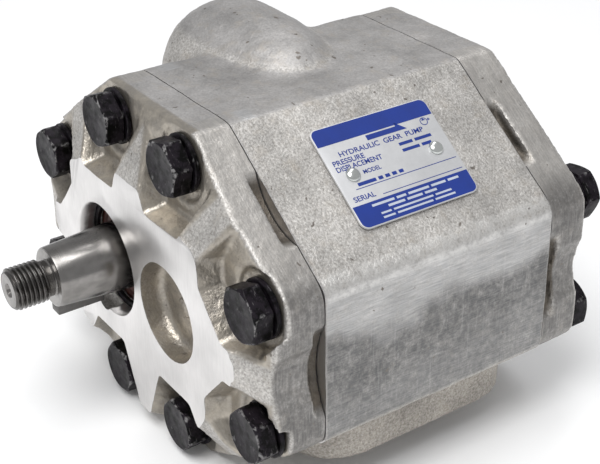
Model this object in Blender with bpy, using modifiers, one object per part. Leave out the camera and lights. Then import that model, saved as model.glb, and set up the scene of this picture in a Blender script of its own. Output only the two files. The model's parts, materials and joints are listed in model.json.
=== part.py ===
"""External gear pump: three bolted aluminium castings around a pair of meshing gear shafts.

Frame: origin on the machined mounting face, midway between the two gear axes. +X runs from the
drive gear to the driven gear, +Y from the mounting face towards the rear cover, +Z up.
Sizes below are in millimetres and are turned into metres where the meshes are made.
"""

import math

import bmesh
import bpy
from mathutils import Matrix, Vector, geometry

MM = 0.001
GAP = 0.3                      # clearance between solids that touch on the real pump
ROUND_STEPS = 32               # sides of a round piece
SMALL_STEPS = 12               # sides of a small hole, pin or washer

# Gear pair
CENTRE_DISTANCE = 40.0
TEETH = 9
MODULE = 4.0
PRESSURE_ANGLE = math.radians(20.0)
TOOTH_THICKNESS = 7.9          # arc at the reference circle, backlash taken off
TIP_R = 23.6
ROOT_R = 15.5
GEAR_FRONT_Y = 52.3
GEAR_REAR_Y = 75.7
GEAR_MID_Y = (GEAR_FRONT_Y + GEAR_REAR_Y) / 2
DRIVE_X = -CENTRE_DISTANCE / 2
DRIVEN_X = CENTRE_DISTANCE / 2
JOURNAL_R = 12.0
JOURNAL_FRONT_Y = 22.6
JOURNAL_REAR_Y = 105.3

# Casting section, an elongated octagon
HALF_WIDTH = 72.7
TOP_Z = 59.0
BOTTOM_Z = -53.5
FLAT_HALF = 25.7               # half of the top and bottom flats
SIDE_HALF = 25.4               # half of the vertical side flats

# Stations along the shaft
FRONT_JOINT_Y = 21.4
REAR_JOINT_Y = 106.5
REAR_FACE_Y = 121.0
TOP_RIM_Y = 9.5                # front edge of the rim, top and bottom
SIDE_RIM_Y = 5.5               # front edge of the rim, left and right

# Front cover
LAND_R = 33.0                  # radius of the machined land about each gear axis
LAND_SWEEP = math.radians(70.0) # how far round each axis it goes, up and down from the outside
SHAFT_BORE_R = 18.7
SHAFT_BORE_DEPTH = 14.0
SHAFT_HOLE_R = 12.6
RECESS_R = 16.2
RECESS_DEPTH = 8.0
POCKET_Y = 7.6                 # depth of the pockets around the front bolts
POCKET_DRAFT = 0.4             # sideways lean of their walls for each millimetre of depth
SEAT_Y = 9.6
SEAT_R = 11.6
WAIST_R = 22.0
WAIST_DEPTH = 2.6

# Bolts, M10
BOLT_R = 5.0
BOLT_HOLE_R = BOLT_R + GAP
HEAD_CORNER_R = 9.3
HEAD_HEIGHT = 6.4
WASHER_R = 9.0
WASHER_HEIGHT = 1.9
FRONT_BOLT_TIP_Y = 44.0
REAR_BOLT_TIP_Y = 85.0
BOLT_PLACES = [                # x, z, turn of the hexagon in degrees
    (-62.0, 21.0, 55.0),
    (-20.0, 48.5, 8.0),
    (21.0, 48.5, 18.0),
    (61.5, 20.2, 8.0),
    (61.5, -21.0, 43.0),
    (19.5, -43.0, 45.0),
    (-20.0, -43.0, 35.0),
    (-62.0, -21.0, 5.0),
]
REAR_INSET = 3.5               # of the rear cover's top and bottom bolts, towards the middle
REAR_SINK = 7.6                # depth of those bolts' counterbores
REAR_SINK_R = 10.4

# Chamber and bearings
CHAMBER_R = 24.1
BLOCK_R = 23.7
BUSH_OUTER_R = 15.0
BUSH_INNER_R = JOURNAL_R + GAP
BLOCK_FRONT = (FRONT_JOINT_Y + 2 * GAP, GEAR_FRONT_Y - GAP)
BLOCK_REAR = (GEAR_REAR_Y + GAP, REAR_JOINT_Y - 2 * GAP)

# Shaft end
TAPER_BIG_R = 11.15
TAPER_SMALL_R = 9.9
TAPER_END_Y = -20.0
THREAD_R = 7.0
SHAFT_END_Y = -33.7
SEAL_LAND_R = 11.6
KEY_R = 8.2
KEY_WIDTH = 5.0
KEY_MID_Y = -11.0
KEY_AXIS_DROP = 12.2           # of the key's disc below the shaft axis
KEY_FLAT_DROP = 13.3           # of the key's outer flat below the shaft axis

# Shaft seal and its circlip
SEAL_R = SHAFT_BORE_R - GAP
SEAL_Y = (8.2, 13.6)
CLIP_Y = (5.9, 7.1)
CLIP_R = 19.6
CLIP_INNER_R = 17.4
CLIP_GAP_ANGLE = math.radians(-48.0)
CLIP_LUG_ANGLE = math.radians(11.0)
CLIP_LUG_R = 2.3
CLIP_LUG_RING_R = 15.9

# Ports
INLET_Y = 64.0
INLET_Z = 43.0
INLET_R = 12.0
INLET_FACE_X = -48.0
INLET_END_X = 5.0
INLET_SPOT_R = 17.0
DOME_R = 25.5
DOME_X = -40.0
DOME_LENGTH = 55.4             # from its widest section to its rounded end
DOME_SQUARENESS = 2.7          # 2 makes the end an ellipsoid, more makes it blunter
OUTLET_R = 10.0
OUTLET_SPOT_R = 17.0

# Body seals, balance seals and dowels
SEAL_CORD_R = 1.2
BODY_SEAL_R = 29.0
BALANCE_SEAL_R = 19.3
BALANCE_WAIST = math.radians(30.0)
BALANCE_CORD_R = 1.1
DOWEL_R = 4.0
DOWEL_X = 59.0
DOWEL_REACH = 8.0

# Foot block cast on the lower right
FOOT_SIDE_X = 66.5
FOOT_INNER_X = 36.0
FOOT_BOTTOM_Z = -42.0
FOOT_Y = (23.0, 104.0)
FOOT_CORNER_R = 17.0

# Nameplate on the upper right face
PLATE_UP = (10.2, 44.6)        # from the top edge of that face, down the slope
PLATE_Y = (42.4, 85.3)
PLATE_THICKNESS = 0.8
PLATE_CORNER_R = 2.5
RIVETS_Y = (48.6, 79.4)
RIVET_HEAD_R = 2.4
RIVET_HEAD_HEIGHT = 1.3
RIVET_R = 1.2
RIVET_DEPTH = 6.0


# ---------------------------------------------------------------- scene and helpers

for old in list(bpy.data.objects):
    bpy.data.objects.remove(old)

PARTS = bpy.data.collections.new("hydraulic_gear_pump")
TOOLS = bpy.data.collections.new("cutters")
bpy.context.scene.collection.children.link(PARTS)
bpy.context.scene.collection.children.link(TOOLS)
TOOLS.hide_render = True


def material(name, colour, roughness, metallic):
    made = bpy.data.materials.new(name)
    made.use_nodes = True
    shader = made.node_tree.nodes["Principled BSDF"]
    shader.inputs["Base Color"].default_value = (*colour, 1.0)
    shader.inputs["Roughness"].default_value = roughness
    shader.inputs["Metallic"].default_value = metallic
    return made


CAST = material("cast_aluminium", (0.44, 0.42, 0.38), 0.62, 0.7)
ALLOY = material("bearing_alloy", (0.52, 0.52, 0.5), 0.4, 0.9)
STEEL = material("ground_steel", (0.36, 0.35, 0.34), 0.25, 1.0)
BLACK_STEEL = material("black_oxide_steel", (0.022, 0.022, 0.026), 0.42, 0.8)
BRONZE = material("lined_bronze", (0.45, 0.27, 0.12), 0.35, 1.0)
RUBBER = material("nitrile_rubber", (0.02, 0.018, 0.016), 0.6, 0.0)
SEAL_RUBBER = material("brown_seal_rubber", (0.12, 0.035, 0.025), 0.5, 0.0)
PLATE = material("printed_plate", (0.62, 0.63, 0.65), 0.3, 0.6)
RIVET = material("bright_rivet", (0.6, 0.62, 0.6), 0.2, 1.0)


def part(name, mesh, finish, where=Matrix.Identity(4)):
    made = bpy.data.objects.new(name, mesh)
    made.matrix_world = where
    mesh.materials.clear()
    mesh.materials.append(finish)
    mesh.shade_smooth()
    mesh.set_sharp_from_angle(angle=math.radians(35.0))
    PARTS.objects.link(made)
    return made


def tool(name, mesh):
    made = bpy.data.objects.new(name, mesh)
    made.hide_render = True
    made.display_type = "WIRE"
    TOOLS.objects.link(made)
    return made


def combine(target, other, operation):
    step = target.modifiers.new(other.name, "BOOLEAN")
    step.operation = operation
    step.solver = "EXACT"
    step.object = other


def cut(target, *others):
    for other in others:
        combine(target, other, "DIFFERENCE")


def join(target, *others):
    for other in others:
        combine(target, other, "UNION")


def settled_mesh(thing, name):
    """The mesh of an object with its modifiers applied, or of a curve, in world space."""
    bpy.context.view_layer.update()
    seen = thing.evaluated_get(bpy.context.evaluated_depsgraph_get())
    mesh = bpy.data.meshes.new_from_object(seen)
    mesh.name = name
    mesh.transform(thing.matrix_world)
    shape = bmesh.new()
    shape.from_mesh(mesh)
    bmesh.ops.remove_doubles(shape, verts=shape.verts, dist=1e-6)
    bmesh.ops.recalc_face_normals(shape, faces=shape.faces)
    shape.to_mesh(mesh)
    shape.free()
    bpy.data.objects.remove(thing)
    return mesh


AXIS_TURN = {
    "X": Matrix.Rotation(math.radians(90.0), 4, "Y"),
    "Y": Matrix.Rotation(math.radians(-90.0), 4, "X"),
    "Z": Matrix.Identity(4),
}


def cones(name, items, axis="Y", segments=ROUND_STEPS):
    """One mesh of capped cones; each item is (start, end, start radius, end radius, centre).

    start and end are stations on the axis, and centre holds the other two coordinates in
    X, Y, Z order.
    """
    shape = bmesh.new()
    for start, end, start_r, end_r, centre in items:
        middle = (start + end) / 2 * MM
        first, second = centre[0] * MM, centre[1] * MM
        place = {
            "X": (middle, first, second),
            "Y": (first, middle, second),
            "Z": (first, second, middle),
        }[axis]
        bmesh.ops.create_cone(
            shape,
            cap_ends=True,
            segments=segments,
            radius1=start_r * MM,
            radius2=end_r * MM,
            depth=(end - start) * MM,
            matrix=Matrix.Translation(place) @ AXIS_TURN[axis],
        )
    mesh = bpy.data.meshes.new(name)
    shape.to_mesh(mesh)
    shape.free()
    return mesh


def cylinders(name, start, end, radius, centres, axis="Y", segments=ROUND_STEPS):
    return cones(name, [(start, end, radius, radius, c) for c in centres], axis, segments)


def box(name, low, high):
    shape = bmesh.new()
    size = [(b - a) * MM for a, b in zip(low, high)]
    middle = [(a + b) / 2 * MM for a, b in zip(low, high)]
    where = Matrix.Translation(middle) @ Matrix.Diagonal((*size, 1.0))
    bmesh.ops.create_cube(shape, size=1.0, matrix=where)
    mesh = bpy.data.meshes.new(name)
    shape.to_mesh(mesh)
    shape.free()
    return mesh


def flat_outline(name, points, start, end, turn):
    """A solid from a closed 2D outline, extruded from start to end along its normal."""
    data = bpy.data.curves.new(name, "CURVE")
    data.dimensions = "2D"
    data.fill_mode = "BOTH"
    data.extrude = (end - start) / 2 * MM
    spline = data.splines.new("POLY")
    spline.points.add(len(points) - 1)
    for spot, (u, v) in zip(spline.points, points):
        spot.co = (u * MM, v * MM, 0.0, 1.0)
    spline.use_cyclic_u = True
    guide = bpy.data.objects.new(name, data)
    guide.matrix_world = turn @ Matrix.Translation((0.0, 0.0, (start + end) / 2 * MM))
    TOOLS.objects.link(guide)
    return settled_mesh(guide, name)


FACING_Y = Matrix.Rotation(math.radians(90.0), 4, "X")


def prism(name, points, y_start, y_end):
    """An outline of (x, z) points extruded between two stations on Y."""
    return flat_outline(name, points, -y_end, -y_start, FACING_Y)


def turned(name, profile, x_axis, steps=ROUND_STEPS):
    """A solid turned about the line x = x_axis, z = 0, from (radius, y) points.

    The profile runs down its outer side, from the greatest y to the least.
    """
    mesh = bpy.data.meshes.new(name)
    corners = [(r * MM, 0.0, y * MM) for r, y in profile]
    mesh.from_pydata(corners, [(i, i + 1) for i in range(len(corners) - 1)], [])
    blank = bpy.data.objects.new(name, mesh)
    blank.matrix_world = Matrix.Translation((x_axis * MM, 0.0, 0.0)) @ AXIS_TURN["Y"]
    TOOLS.objects.link(blank)
    spin = blank.modifiers.new("turn", "SCREW")
    spin.steps = steps
    spin.render_steps = steps
    spin.use_merge_vertices = True
    spin.merge_threshold = 1e-6
    return settled_mesh(blank, name)


def arc(centre, radius, start, end, count):
    """count points on an arc, both ends included."""
    angles = [start + (end - start) * i / (count - 1) for i in range(count)]
    return [(centre[0] + radius * math.cos(a), centre[1] + radius * math.sin(a)) for a in angles]


def rounded(points, radii, count=4):
    """A convex outline with its corners replaced by arcs."""
    smooth = []
    for i, corner in enumerate(points):
        here = Vector(corner)
        back = (Vector(points[i - 1]) - here).normalized()
        ahead = (Vector(points[(i + 1) % len(points)]) - here).normalized()
        half = back.angle(ahead) / 2
        reach = radii[i] / math.tan(half)
        centre = here + (back + ahead).normalized() * radii[i] / math.sin(half)
        first = here + back * reach - centre
        sweep = math.pi - 2 * half
        side = 1.0 if back.cross(ahead) < 0 else -1.0
        start = math.atan2(first.y, first.x)
        smooth += arc(centre, radii[i], start, start + side * sweep, count)
    return smooth


def octagon():
    return [
        (FLAT_HALF, TOP_Z),
        (-FLAT_HALF, TOP_Z),
        (-HALF_WIDTH, SIDE_HALF),
        (-HALF_WIDTH, -SIDE_HALF),
        (-FLAT_HALF, BOTTOM_Z),
        (FLAT_HALF, BOTTOM_Z),
        (HALF_WIDTH, -SIDE_HALF),
        (HALF_WIDTH, SIDE_HALF),
    ]


def section(flat_corner, side_corner):
    """The casting's outline, with one rounding for the flats' corners and one for the sides'."""
    radii = [flat_corner, flat_corner, side_corner, side_corner] * 2
    return rounded(octagon(), radii)


def mesh_hull(name, points):
    shape = bmesh.new()
    for x, y, z in points:
        shape.verts.new((x * MM, y * MM, z * MM))
    found = bmesh.ops.convex_hull(shape, input=shape.verts)
    loose = [v for v in found["geom_interior"] if isinstance(v, bmesh.types.BMVert)]
    bmesh.ops.delete(shape, geom=loose, context="VERTS")
    bmesh.ops.recalc_face_normals(shape, faces=shape.faces)
    mesh = bpy.data.meshes.new(name)
    shape.to_mesh(mesh)
    shape.free()
    return mesh


# The upper right face of the octagon, which carries the nameplate.
SLOPE_TOP = Vector((FLAT_HALF, 0.0, TOP_Z))
SLOPE_DOWN = (Vector((HALF_WIDTH, 0.0, SIDE_HALF)) - SLOPE_TOP).normalized()
SLOPE_OUT = Vector((-SLOPE_DOWN.z, 0.0, SLOPE_DOWN.x))


def on_slope(down, y, out):
    """The placement of a local frame on that face: X along Y, Y up the slope, Z outwards."""
    spot = (SLOPE_TOP + SLOPE_DOWN * down + SLOPE_OUT * out) * MM
    spot.y = y * MM
    turn = Matrix((Vector((0.0, 1.0, 0.0)), -SLOPE_DOWN, SLOPE_OUT)).transposed().to_4x4()
    return Matrix.Translation(spot) @ turn


def mirrored_x(places):
    return [(-x, z) for x, z in places] + list(places)


BOLT_AXES = [(x, z) for x, z, _ in BOLT_PLACES]
SUNK = [abs(z) > 30.0 for _, z in BOLT_AXES]
REAR_AXES = [
    (x, z - math.copysign(REAR_INSET, z) if sunk else z)
    for (x, z), sunk in zip(BOLT_AXES, SUNK)
]
GEAR_AXES = [(DRIVE_X, 0.0), (DRIVEN_X, 0.0)]
DOWEL_AXES = mirrored_x([(DOWEL_X, 0.0)])


# ---------------------------------------------------------------- housing castings

def waist_cutter(name, y_start, y_end):
    """Shallow hollows in the two vertical sides, between the side bolts."""
    reach = HALF_WIDTH + WAIST_R - WAIST_DEPTH
    return cylinders(name, y_start, y_end, WAIST_R, mirrored_x([(reach, 0.0)]))


def pry_cutter(name, y_start, y_end):
    """Pry slots at a joint: one in each vertical side and one in each upper sloping face."""
    side_r, side_depth = 30.0, 4.6
    slope_r, slope_depth, slope_at = 20.0, 4.5, 29.3
    side = (HALF_WIDTH + side_r - side_depth, 0.0)
    spot = SLOPE_TOP + SLOPE_DOWN * slope_at + SLOPE_OUT * (slope_r - slope_depth)
    items = [(y_start, y_end, side_r, side_r, c) for c in mirrored_x([side])]
    items += [(y_start, y_end, slope_r, slope_r, c) for c in mirrored_x([(spot.x, spot.z)])]
    return cones(name, items)


def racetrack(radius, count=10):
    quarter = math.pi / 2
    right = arc(GEAR_AXES[1], radius, -quarter, quarter, count)
    left = arc(GEAR_AXES[0], radius, quarter, 3 * quarter, count)
    return right + left


def seal_groove(name, y_start, y_end, half_width=1.6):
    """A racetrack groove's cutter: an outer prism with its middle taken out."""
    outer = tool(name, prism(name, racetrack(BODY_SEAL_R + half_width), y_start, y_end))
    core_mesh = prism(name + "_core", racetrack(BODY_SEAL_R - half_width), y_start - 1, y_end + 1)
    cut(outer, tool(name + "_core", core_mesh))
    return outer


def front_shell():
    """The sloping front of the cover, from the machined land out to the rim."""
    land = arc(GEAR_AXES[1], LAND_R, -LAND_SWEEP, LAND_SWEEP, 13)
    land += arc(GEAR_AXES[0], LAND_R, math.pi - LAND_SWEEP, math.pi + LAND_SWEEP, 13)
    land += [(-9.0, -46.0), (6.0, -46.0), (-40.0, -30.0)]
    points = [(x, 0.0, z) for x, z in land]
    for x, z in section(5.0, 9.0):
        on_side = abs(x) > HALF_WIDTH - 12.0
        points.append((x, SIDE_RIM_Y if on_side else TOP_RIM_Y, z))
        points.append((x, FRONT_JOINT_Y, z))
    return mesh_hull("front_cover", points)


def pocket_outlines():
    """The mouths of the eight pockets around the front bolts, at the level of the land.

    Each is open outwards. Straight ribs stand between them: one on each side at mid height, one
    at each slope, and a tapering one at the top and at the bottom.
    """
    side = [(39.9, 28.3), (39.9, 18.8), (51.8, 5.4), (70.8, 6.0), (70.8, 76.0)]
    top = [(9.6, 29.0), (30.4, 29.0), (63.7, 80.0), (-11.0, 80.0)]
    low = [(11.5, 26.5), (31.3, 26.5), (66.0, 80.0), (-11.0, 80.0)]
    right = [side, top, mirrored(side, 1, -1), mirrored(low, 1, -1)]
    return right + [mirrored(outline, -1, 1) for outline in right]


def mirrored(outline, x_sign, z_sign):
    return [(x * x_sign, z * z_sign) for x, z in reversed(outline)]


def inset(outline, distance):
    """A convex outline, given anticlockwise, with its sides moved inwards."""
    sides = []
    for start, end in zip(outline, outline[1:] + outline[:1]):
        along = (Vector(end) - Vector(start)).normalized()
        shift = Vector((-along.y, along.x)) * distance
        sides.append((Vector(start) + shift, Vector(end) + shift))
    meetings = zip(sides[-1:] + sides[:-1], sides)
    return [geometry.intersect_line_line_2d(*lengthened(a), *lengthened(b)) for a, b in meetings]


def lengthened(side):
    """The same line drawn far past both of its ends."""
    start, end = side
    reach = (end - start) * 20.0
    return start - reach, end + reach


def pocket_mesh(outline):
    """A pocket's cutter, narrower towards its floor."""
    levels = [(-2.0, -2.0 * POCKET_DRAFT), (POCKET_Y, POCKET_Y * POCKET_DRAFT)]
    points = [(x, y, z) for y, lean in levels for x, z in inset(outline, lean)]
    return mesh_hull("bolt_pocket", points)


def make_front_cover():
    cover = part("front_cover", front_shell(), CAST)
    for i, outline in enumerate(pocket_outlines()):
        cut(cover, tool(f"bolt_pocket_{i + 1}", pocket_mesh(outline)))
    for i, axis in enumerate(BOLT_AXES):
        seat = (-2.0, SEAT_Y, SEAT_R + 1.4, SEAT_R, axis)
        cut(cover, tool(f"bolt_seat_{i + 1}", cones("bolt_seat", [seat], segments=24)))
    cut(
        cover,
        tool("front_waist", waist_cutter("front_waist", -1.0, FRONT_JOINT_Y + 1.0)),
        tool("front_pry", pry_cutter("front_pry", 17.9, FRONT_JOINT_Y + 1.0)),
        tool("front_bolt_holes", cylinders("holes", 0.0, 30.0, BOLT_HOLE_R, BOLT_AXES, "Y", SMALL_STEPS)),
        tool("shaft_bore", cylinders("bore", -2.0, SHAFT_BORE_DEPTH, SHAFT_BORE_R, GEAR_AXES[:1])),
        tool("shaft_hole", cylinders("hole", 5.0, 30.0, SHAFT_HOLE_R, GEAR_AXES[:1])),
        tool("clip_groove", cylinders("groove", 5.6, 7.4, CLIP_R + GAP, GEAR_AXES[:1])),
        tool("drain_notch", cylinders("notch", -2.0, 5.0, 4.5, [(-24.0, -16.8)], "Y", SMALL_STEPS)),
        tool("driven_recess", recess_mesh()),
        seal_groove("front_seal_groove", FRONT_JOINT_Y - 2.9, FRONT_JOINT_Y + 1.0),
        tool("front_dowels", dowel_holes("dowels", FRONT_JOINT_Y)),
    )


def recess_mesh():
    """The blind round recess in front of the driven gear, with a filleted floor."""
    fillet = 3.0
    floor = RECESS_DEPTH
    rounding = arc((RECESS_R - fillet, floor - fillet), fillet, math.pi / 2, 0.0, 5)
    profile = [(0.0, floor)] + rounding + [(RECESS_R, -2.0), (0.0, -2.0)]
    return turned("driven_recess", profile, DRIVEN_X)


def dowel_holes(name, joint_y):
    reach = DOWEL_REACH + GAP
    return cylinders(name, joint_y - reach, joint_y + reach, DOWEL_R + GAP, DOWEL_AXES, "Y", SMALL_STEPS)


def figure_eight(radius, count=24):
    """The outline of two overlapping circles about the gear axes."""
    meet = math.acos(DRIVEN_X / radius)
    left = arc(GEAR_AXES[0], radius, meet, 2 * math.pi - meet, count)
    right = arc(GEAR_AXES[1], radius, meet - math.pi, math.pi - meet, count)
    return left + right[1:-1]


def chamber():
    """The two overlapping gear bores, right through the body."""
    outline = figure_eight(CHAMBER_R)
    return tool("chamber", prism("chamber", outline, FRONT_JOINT_Y - 1.0, REAR_JOINT_Y + 1.0))


def inlet_dome():
    """The domed bulge over the inlet gallery, drawn out to a blunt end over the middle of the body."""
    shape = bmesh.new()
    bmesh.ops.create_uvsphere(shape, u_segments=24, v_segments=14, radius=DOME_R * MM)
    power = 2.0 / DOME_SQUARENESS
    for spot in shape.verts:
        along = spot.co.x / (DOME_R * MM)
        across = math.hypot(spot.co.y, spot.co.z) / (DOME_R * MM)
        if along > 0.0 and across > 0.0:
            spot.co.y *= across ** (power - 1.0)
            spot.co.z *= across ** (power - 1.0)
            spot.co.x = DOME_LENGTH * MM * along ** power
    place = (DOME_X * MM, INLET_Y * MM, INLET_Z * MM)
    bmesh.ops.translate(shape, verts=shape.verts, vec=place)
    mesh = bpy.data.meshes.new("inlet_dome")
    shape.to_mesh(mesh)
    shape.free()
    return mesh


def foot_block():
    """The block with vertical walls cast on the lower right slope."""
    corners = [
        (FOOT_SIDE_X, FOOT_Y[1]),
        (FOOT_INNER_X, FOOT_Y[1]),
        (FOOT_INNER_X, FOOT_Y[0]),
        (FOOT_SIDE_X, FOOT_Y[0]),
    ]
    radii = [FOOT_CORNER_R, 2.0, 2.0, FOOT_CORNER_R]
    outline = rounded(corners, radii, 6)
    return flat_outline("foot_block", outline, FOOT_BOTTOM_Z, -15.0, Matrix.Identity(4))


def rivet_holes():
    shape = bmesh.new()
    down = sum(PLATE_UP) / 2
    for y in RIVETS_Y:
        bmesh.ops.create_cone(
            shape,
            cap_ends=True,
            segments=12,
            radius1=(RIVET_R + GAP) * MM,
            radius2=(RIVET_R + GAP) * MM,
            depth=2 * (RIVET_DEPTH + GAP) * MM,
            matrix=on_slope(down, y, 0.0),
        )
    mesh = bpy.data.meshes.new("rivet_holes")
    shape.to_mesh(mesh)
    shape.free()
    return mesh


def make_body():
    start, end = FRONT_JOINT_Y + GAP, REAR_JOINT_Y - GAP
    body = part("pump_body", prism("pump_body", section(3.0, 5.0), start, end), CAST)
    join(body, tool("inlet_dome", inlet_dome()), tool("foot_block", foot_block()))
    front = (FRONT_JOINT_Y - 1.0, FRONT_BOLT_TIP_Y + 2.0)
    rear = (REAR_BOLT_TIP_Y - 2.0, REAR_JOINT_Y + 1.0)
    inlet_axis = [(INLET_Y, INLET_Z)]
    outlet_axis = [(0.0, GEAR_MID_Y)]
    cut(
        body,
        chamber(),
        tool("front_taps", cylinders("taps", *front, BOLT_HOLE_R, BOLT_AXES, "Y", SMALL_STEPS)),
        tool("rear_taps", cylinders("taps", *rear, BOLT_HOLE_R, REAR_AXES, "Y", SMALL_STEPS)),
        tool("inlet_spot", cylinders("spot", -90.0, INLET_FACE_X, INLET_SPOT_R, inlet_axis, "X")),
        tool("inlet_bore", cylinders("inlet", -60.0, INLET_END_X, INLET_R, inlet_axis, "X")),
        tool("inlet_drop", cylinders("drop", 5.0, INLET_Z, 8.5, [(-4.0, GEAR_MID_Y)], "Z", 24)),
        tool("outlet_bore", cylinders("outlet", -60.0, -5.0, OUTLET_R, outlet_axis, "Z")),
        tool("outlet_spot", cylinders("spot", -60.0, BOTTOM_Z + 0.6, OUTLET_SPOT_R, outlet_axis, "Z")),
        tool("front_body_dowels", dowel_holes("dowels", FRONT_JOINT_Y)),
        tool("rear_body_dowels", dowel_holes("dowels", REAR_JOINT_Y)),
        tool("rivet_holes", rivet_holes()),
    )


def make_rear_cover():
    cover = part("rear_cover", prism("rear_cover", section(5.0, 9.0), REAR_JOINT_Y, REAR_FACE_Y), CAST)
    past = REAR_FACE_Y + 1.0
    cut(
        cover,
        tool("rear_waist", waist_cutter("rear_waist", REAR_JOINT_Y - 1.0, past)),
        tool("rear_pry", pry_cutter("rear_pry", REAR_JOINT_Y - 1.0, 110.2)),
        tool("rear_holes", cylinders("holes", REAR_JOINT_Y - 1.0, past,
                                     BOLT_HOLE_R, REAR_AXES, "Y", SMALL_STEPS)),
        tool("rear_sinks", cylinders("sinks", REAR_FACE_Y - REAR_SINK, past, REAR_SINK_R,
                                     [c for c, sunk in zip(REAR_AXES, SUNK) if sunk], "Y", 24)),
        seal_groove("rear_seal_groove", REAR_JOINT_Y - 1.0, REAR_JOINT_Y + 2.9),
        tool("rear_dowels", dowel_holes("dowels", REAR_JOINT_Y)),
    )


# ---------------------------------------------------------------- gear shafts

def involute(angle):
    return math.tan(angle) - angle


def half_tooth(radius):
    """Half the angle that a tooth covers at this radius."""
    reference_r = MODULE * TEETH / 2
    base_r = reference_r * math.cos(PRESSURE_ANGLE)
    here = math.acos(base_r / max(radius, base_r))
    return TOOTH_THICKNESS / (2 * reference_r) + involute(PRESSURE_ANGLE) - involute(here)


def gear_outline(axis, phase):
    """Involute flanks on a root circle; phase is the angle of the first tooth's middle."""
    steps = 6
    base_r = MODULE * TEETH / 2 * math.cos(PRESSURE_ANGLE)
    radii = [ROOT_R] + [base_r + (TIP_R - base_r) * i / (steps - 1) for i in range(steps)]
    outline = []
    for tooth in range(TEETH):
        middle = phase + 2 * math.pi * tooth / TEETH
        rising = [(r, middle - half_tooth(r)) for r in radii]
        falling = [(r, middle + half_tooth(r)) for r in reversed(radii)]
        gap_mid = middle + math.pi / TEETH
        for r, angle in rising + falling + [(ROOT_R, gap_mid)]:
            outline.append((axis[0] + r * math.cos(angle), axis[1] + r * math.sin(angle)))
    return outline


def gear_wheel(name, axis, phase):
    return tool(name, prism(name, gear_outline(axis, phase), GEAR_FRONT_Y, GEAR_REAR_Y))


def shaft_profile(front):
    """(radius, y) points from the rear end of the journal forwards, then the given front end."""
    chamfer = 0.6
    rear = [
        (0.0, JOURNAL_REAR_Y),
        (JOURNAL_R - chamfer, JOURNAL_REAR_Y),
        (JOURNAL_R, JOURNAL_REAR_Y - chamfer),
    ]
    return rear + front


def recentred(thing, x_axis):
    """Moves an object's origin onto its turning axis without moving its shape."""
    shift = Vector((x_axis * MM, 0.0, 0.0))
    thing.data.transform(Matrix.Translation(-shift))
    thing.location = shift


def make_drive_shaft():
    front = [
        (JOURNAL_R, 15.6),
        (SEAL_LAND_R, 15.2),
        (SEAL_LAND_R, 7.2),
        (TAPER_BIG_R, 0.0),
        (TAPER_SMALL_R, TAPER_END_Y + 0.5),
        (TAPER_SMALL_R - 0.5, TAPER_END_Y),
        (5.9, TAPER_END_Y),
        (5.9, TAPER_END_Y - 1.6),
        (THREAD_R, TAPER_END_Y - 2.6),
        (THREAD_R, SHAFT_END_Y + 1.1),
        (5.9, SHAFT_END_Y),
        (1.8, SHAFT_END_Y),
        (1.3, SHAFT_END_Y + 0.8),
        (1.3, SHAFT_END_Y + 3.6),
        (0.0, SHAFT_END_Y + 4.4),
    ]
    shaft = part("drive_gear_shaft", turned("drive_gear_shaft", shaft_profile(front), DRIVE_X), STEEL)
    recentred(shaft, DRIVE_X)
    join(shaft, gear_wheel("drive_gear", GEAR_AXES[0], 0.0))
    seat = key_mesh("key_seat", KEY_R + GAP, KEY_WIDTH / 2 + GAP, KEY_FLAT_DROP + 3.0)
    cut(shaft, tool("key_seat", seat))


def make_driven_shaft():
    front = [(JOURNAL_R, JOURNAL_FRONT_Y + 0.6), (JOURNAL_R - 0.6, JOURNAL_FRONT_Y), (0.0, JOURNAL_FRONT_Y)]
    shaft = part("driven_gear_shaft", turned("driven_gear_shaft", shaft_profile(front), DRIVEN_X), STEEL)
    recentred(shaft, DRIVEN_X)
    join(shaft, gear_wheel("driven_gear", GEAR_AXES[1], math.pi + math.pi / TEETH))


def key_mesh(name, radius, half_width, flat_drop):
    """A Woodruff key: a disc across the shaft's underside, cut off flat below it."""
    rise = KEY_AXIS_DROP - flat_drop
    if -rise < radius:
        start = math.asin(rise / radius)
        outline = arc((KEY_MID_Y, -KEY_AXIS_DROP), radius, start, math.pi - start, 15)
    else:
        upper = arc((KEY_MID_Y, -KEY_AXIS_DROP), radius, 0.0, math.pi, 13)
        outline = upper + [(KEY_MID_Y - radius, -flat_drop), (KEY_MID_Y + radius, -flat_drop)]
    across = Matrix(((0, 0, 1, 0), (1, 0, 0, 0), (0, 1, 0, 0), (0, 0, 0, 1)))
    return flat_outline(name, outline, DRIVE_X - half_width, DRIVE_X + half_width, across)


def make_key():
    key = part("woodruff_key", key_mesh("woodruff_key", KEY_R, KEY_WIDTH / 2, KEY_FLAT_DROP), STEEL)
    recentred(key, DRIVE_X)


# ---------------------------------------------------------------- bearings and seals

def ring_profile(inner, outer, start, end):
    return [(inner, end), (outer, end), (outer, start), (inner, start), (inner, end)]


def balance_path():
    """A loop round both journals, drawn in between them."""
    turn = 2 * math.pi - BALANCE_WAIST
    left = arc(GEAR_AXES[0], BALANCE_SEAL_R, BALANCE_WAIST, turn, 11)
    right = arc(GEAR_AXES[1], BALANCE_SEAL_R, math.pi + BALANCE_WAIST, math.pi + turn, 11)
    return left + right


def make_block(name, stations, seal_y):
    start, end = stations
    block = part(name, prism(name, figure_eight(BLOCK_R), start, end), ALLOY)
    for i, axis in enumerate(GEAR_AXES):
        hole = cylinders(name, start - 1, end + 1, BUSH_OUTER_R + GAP, [axis])
        cut(block, tool(f"{name}_hole_{i + 1}", hole))
    groove = cord(name + "_groove", balance_path(), seal_y, BALANCE_CORD_R + GAP + 0.1, "settled")
    cut(block, tool(name + "_groove", groove))


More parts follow.
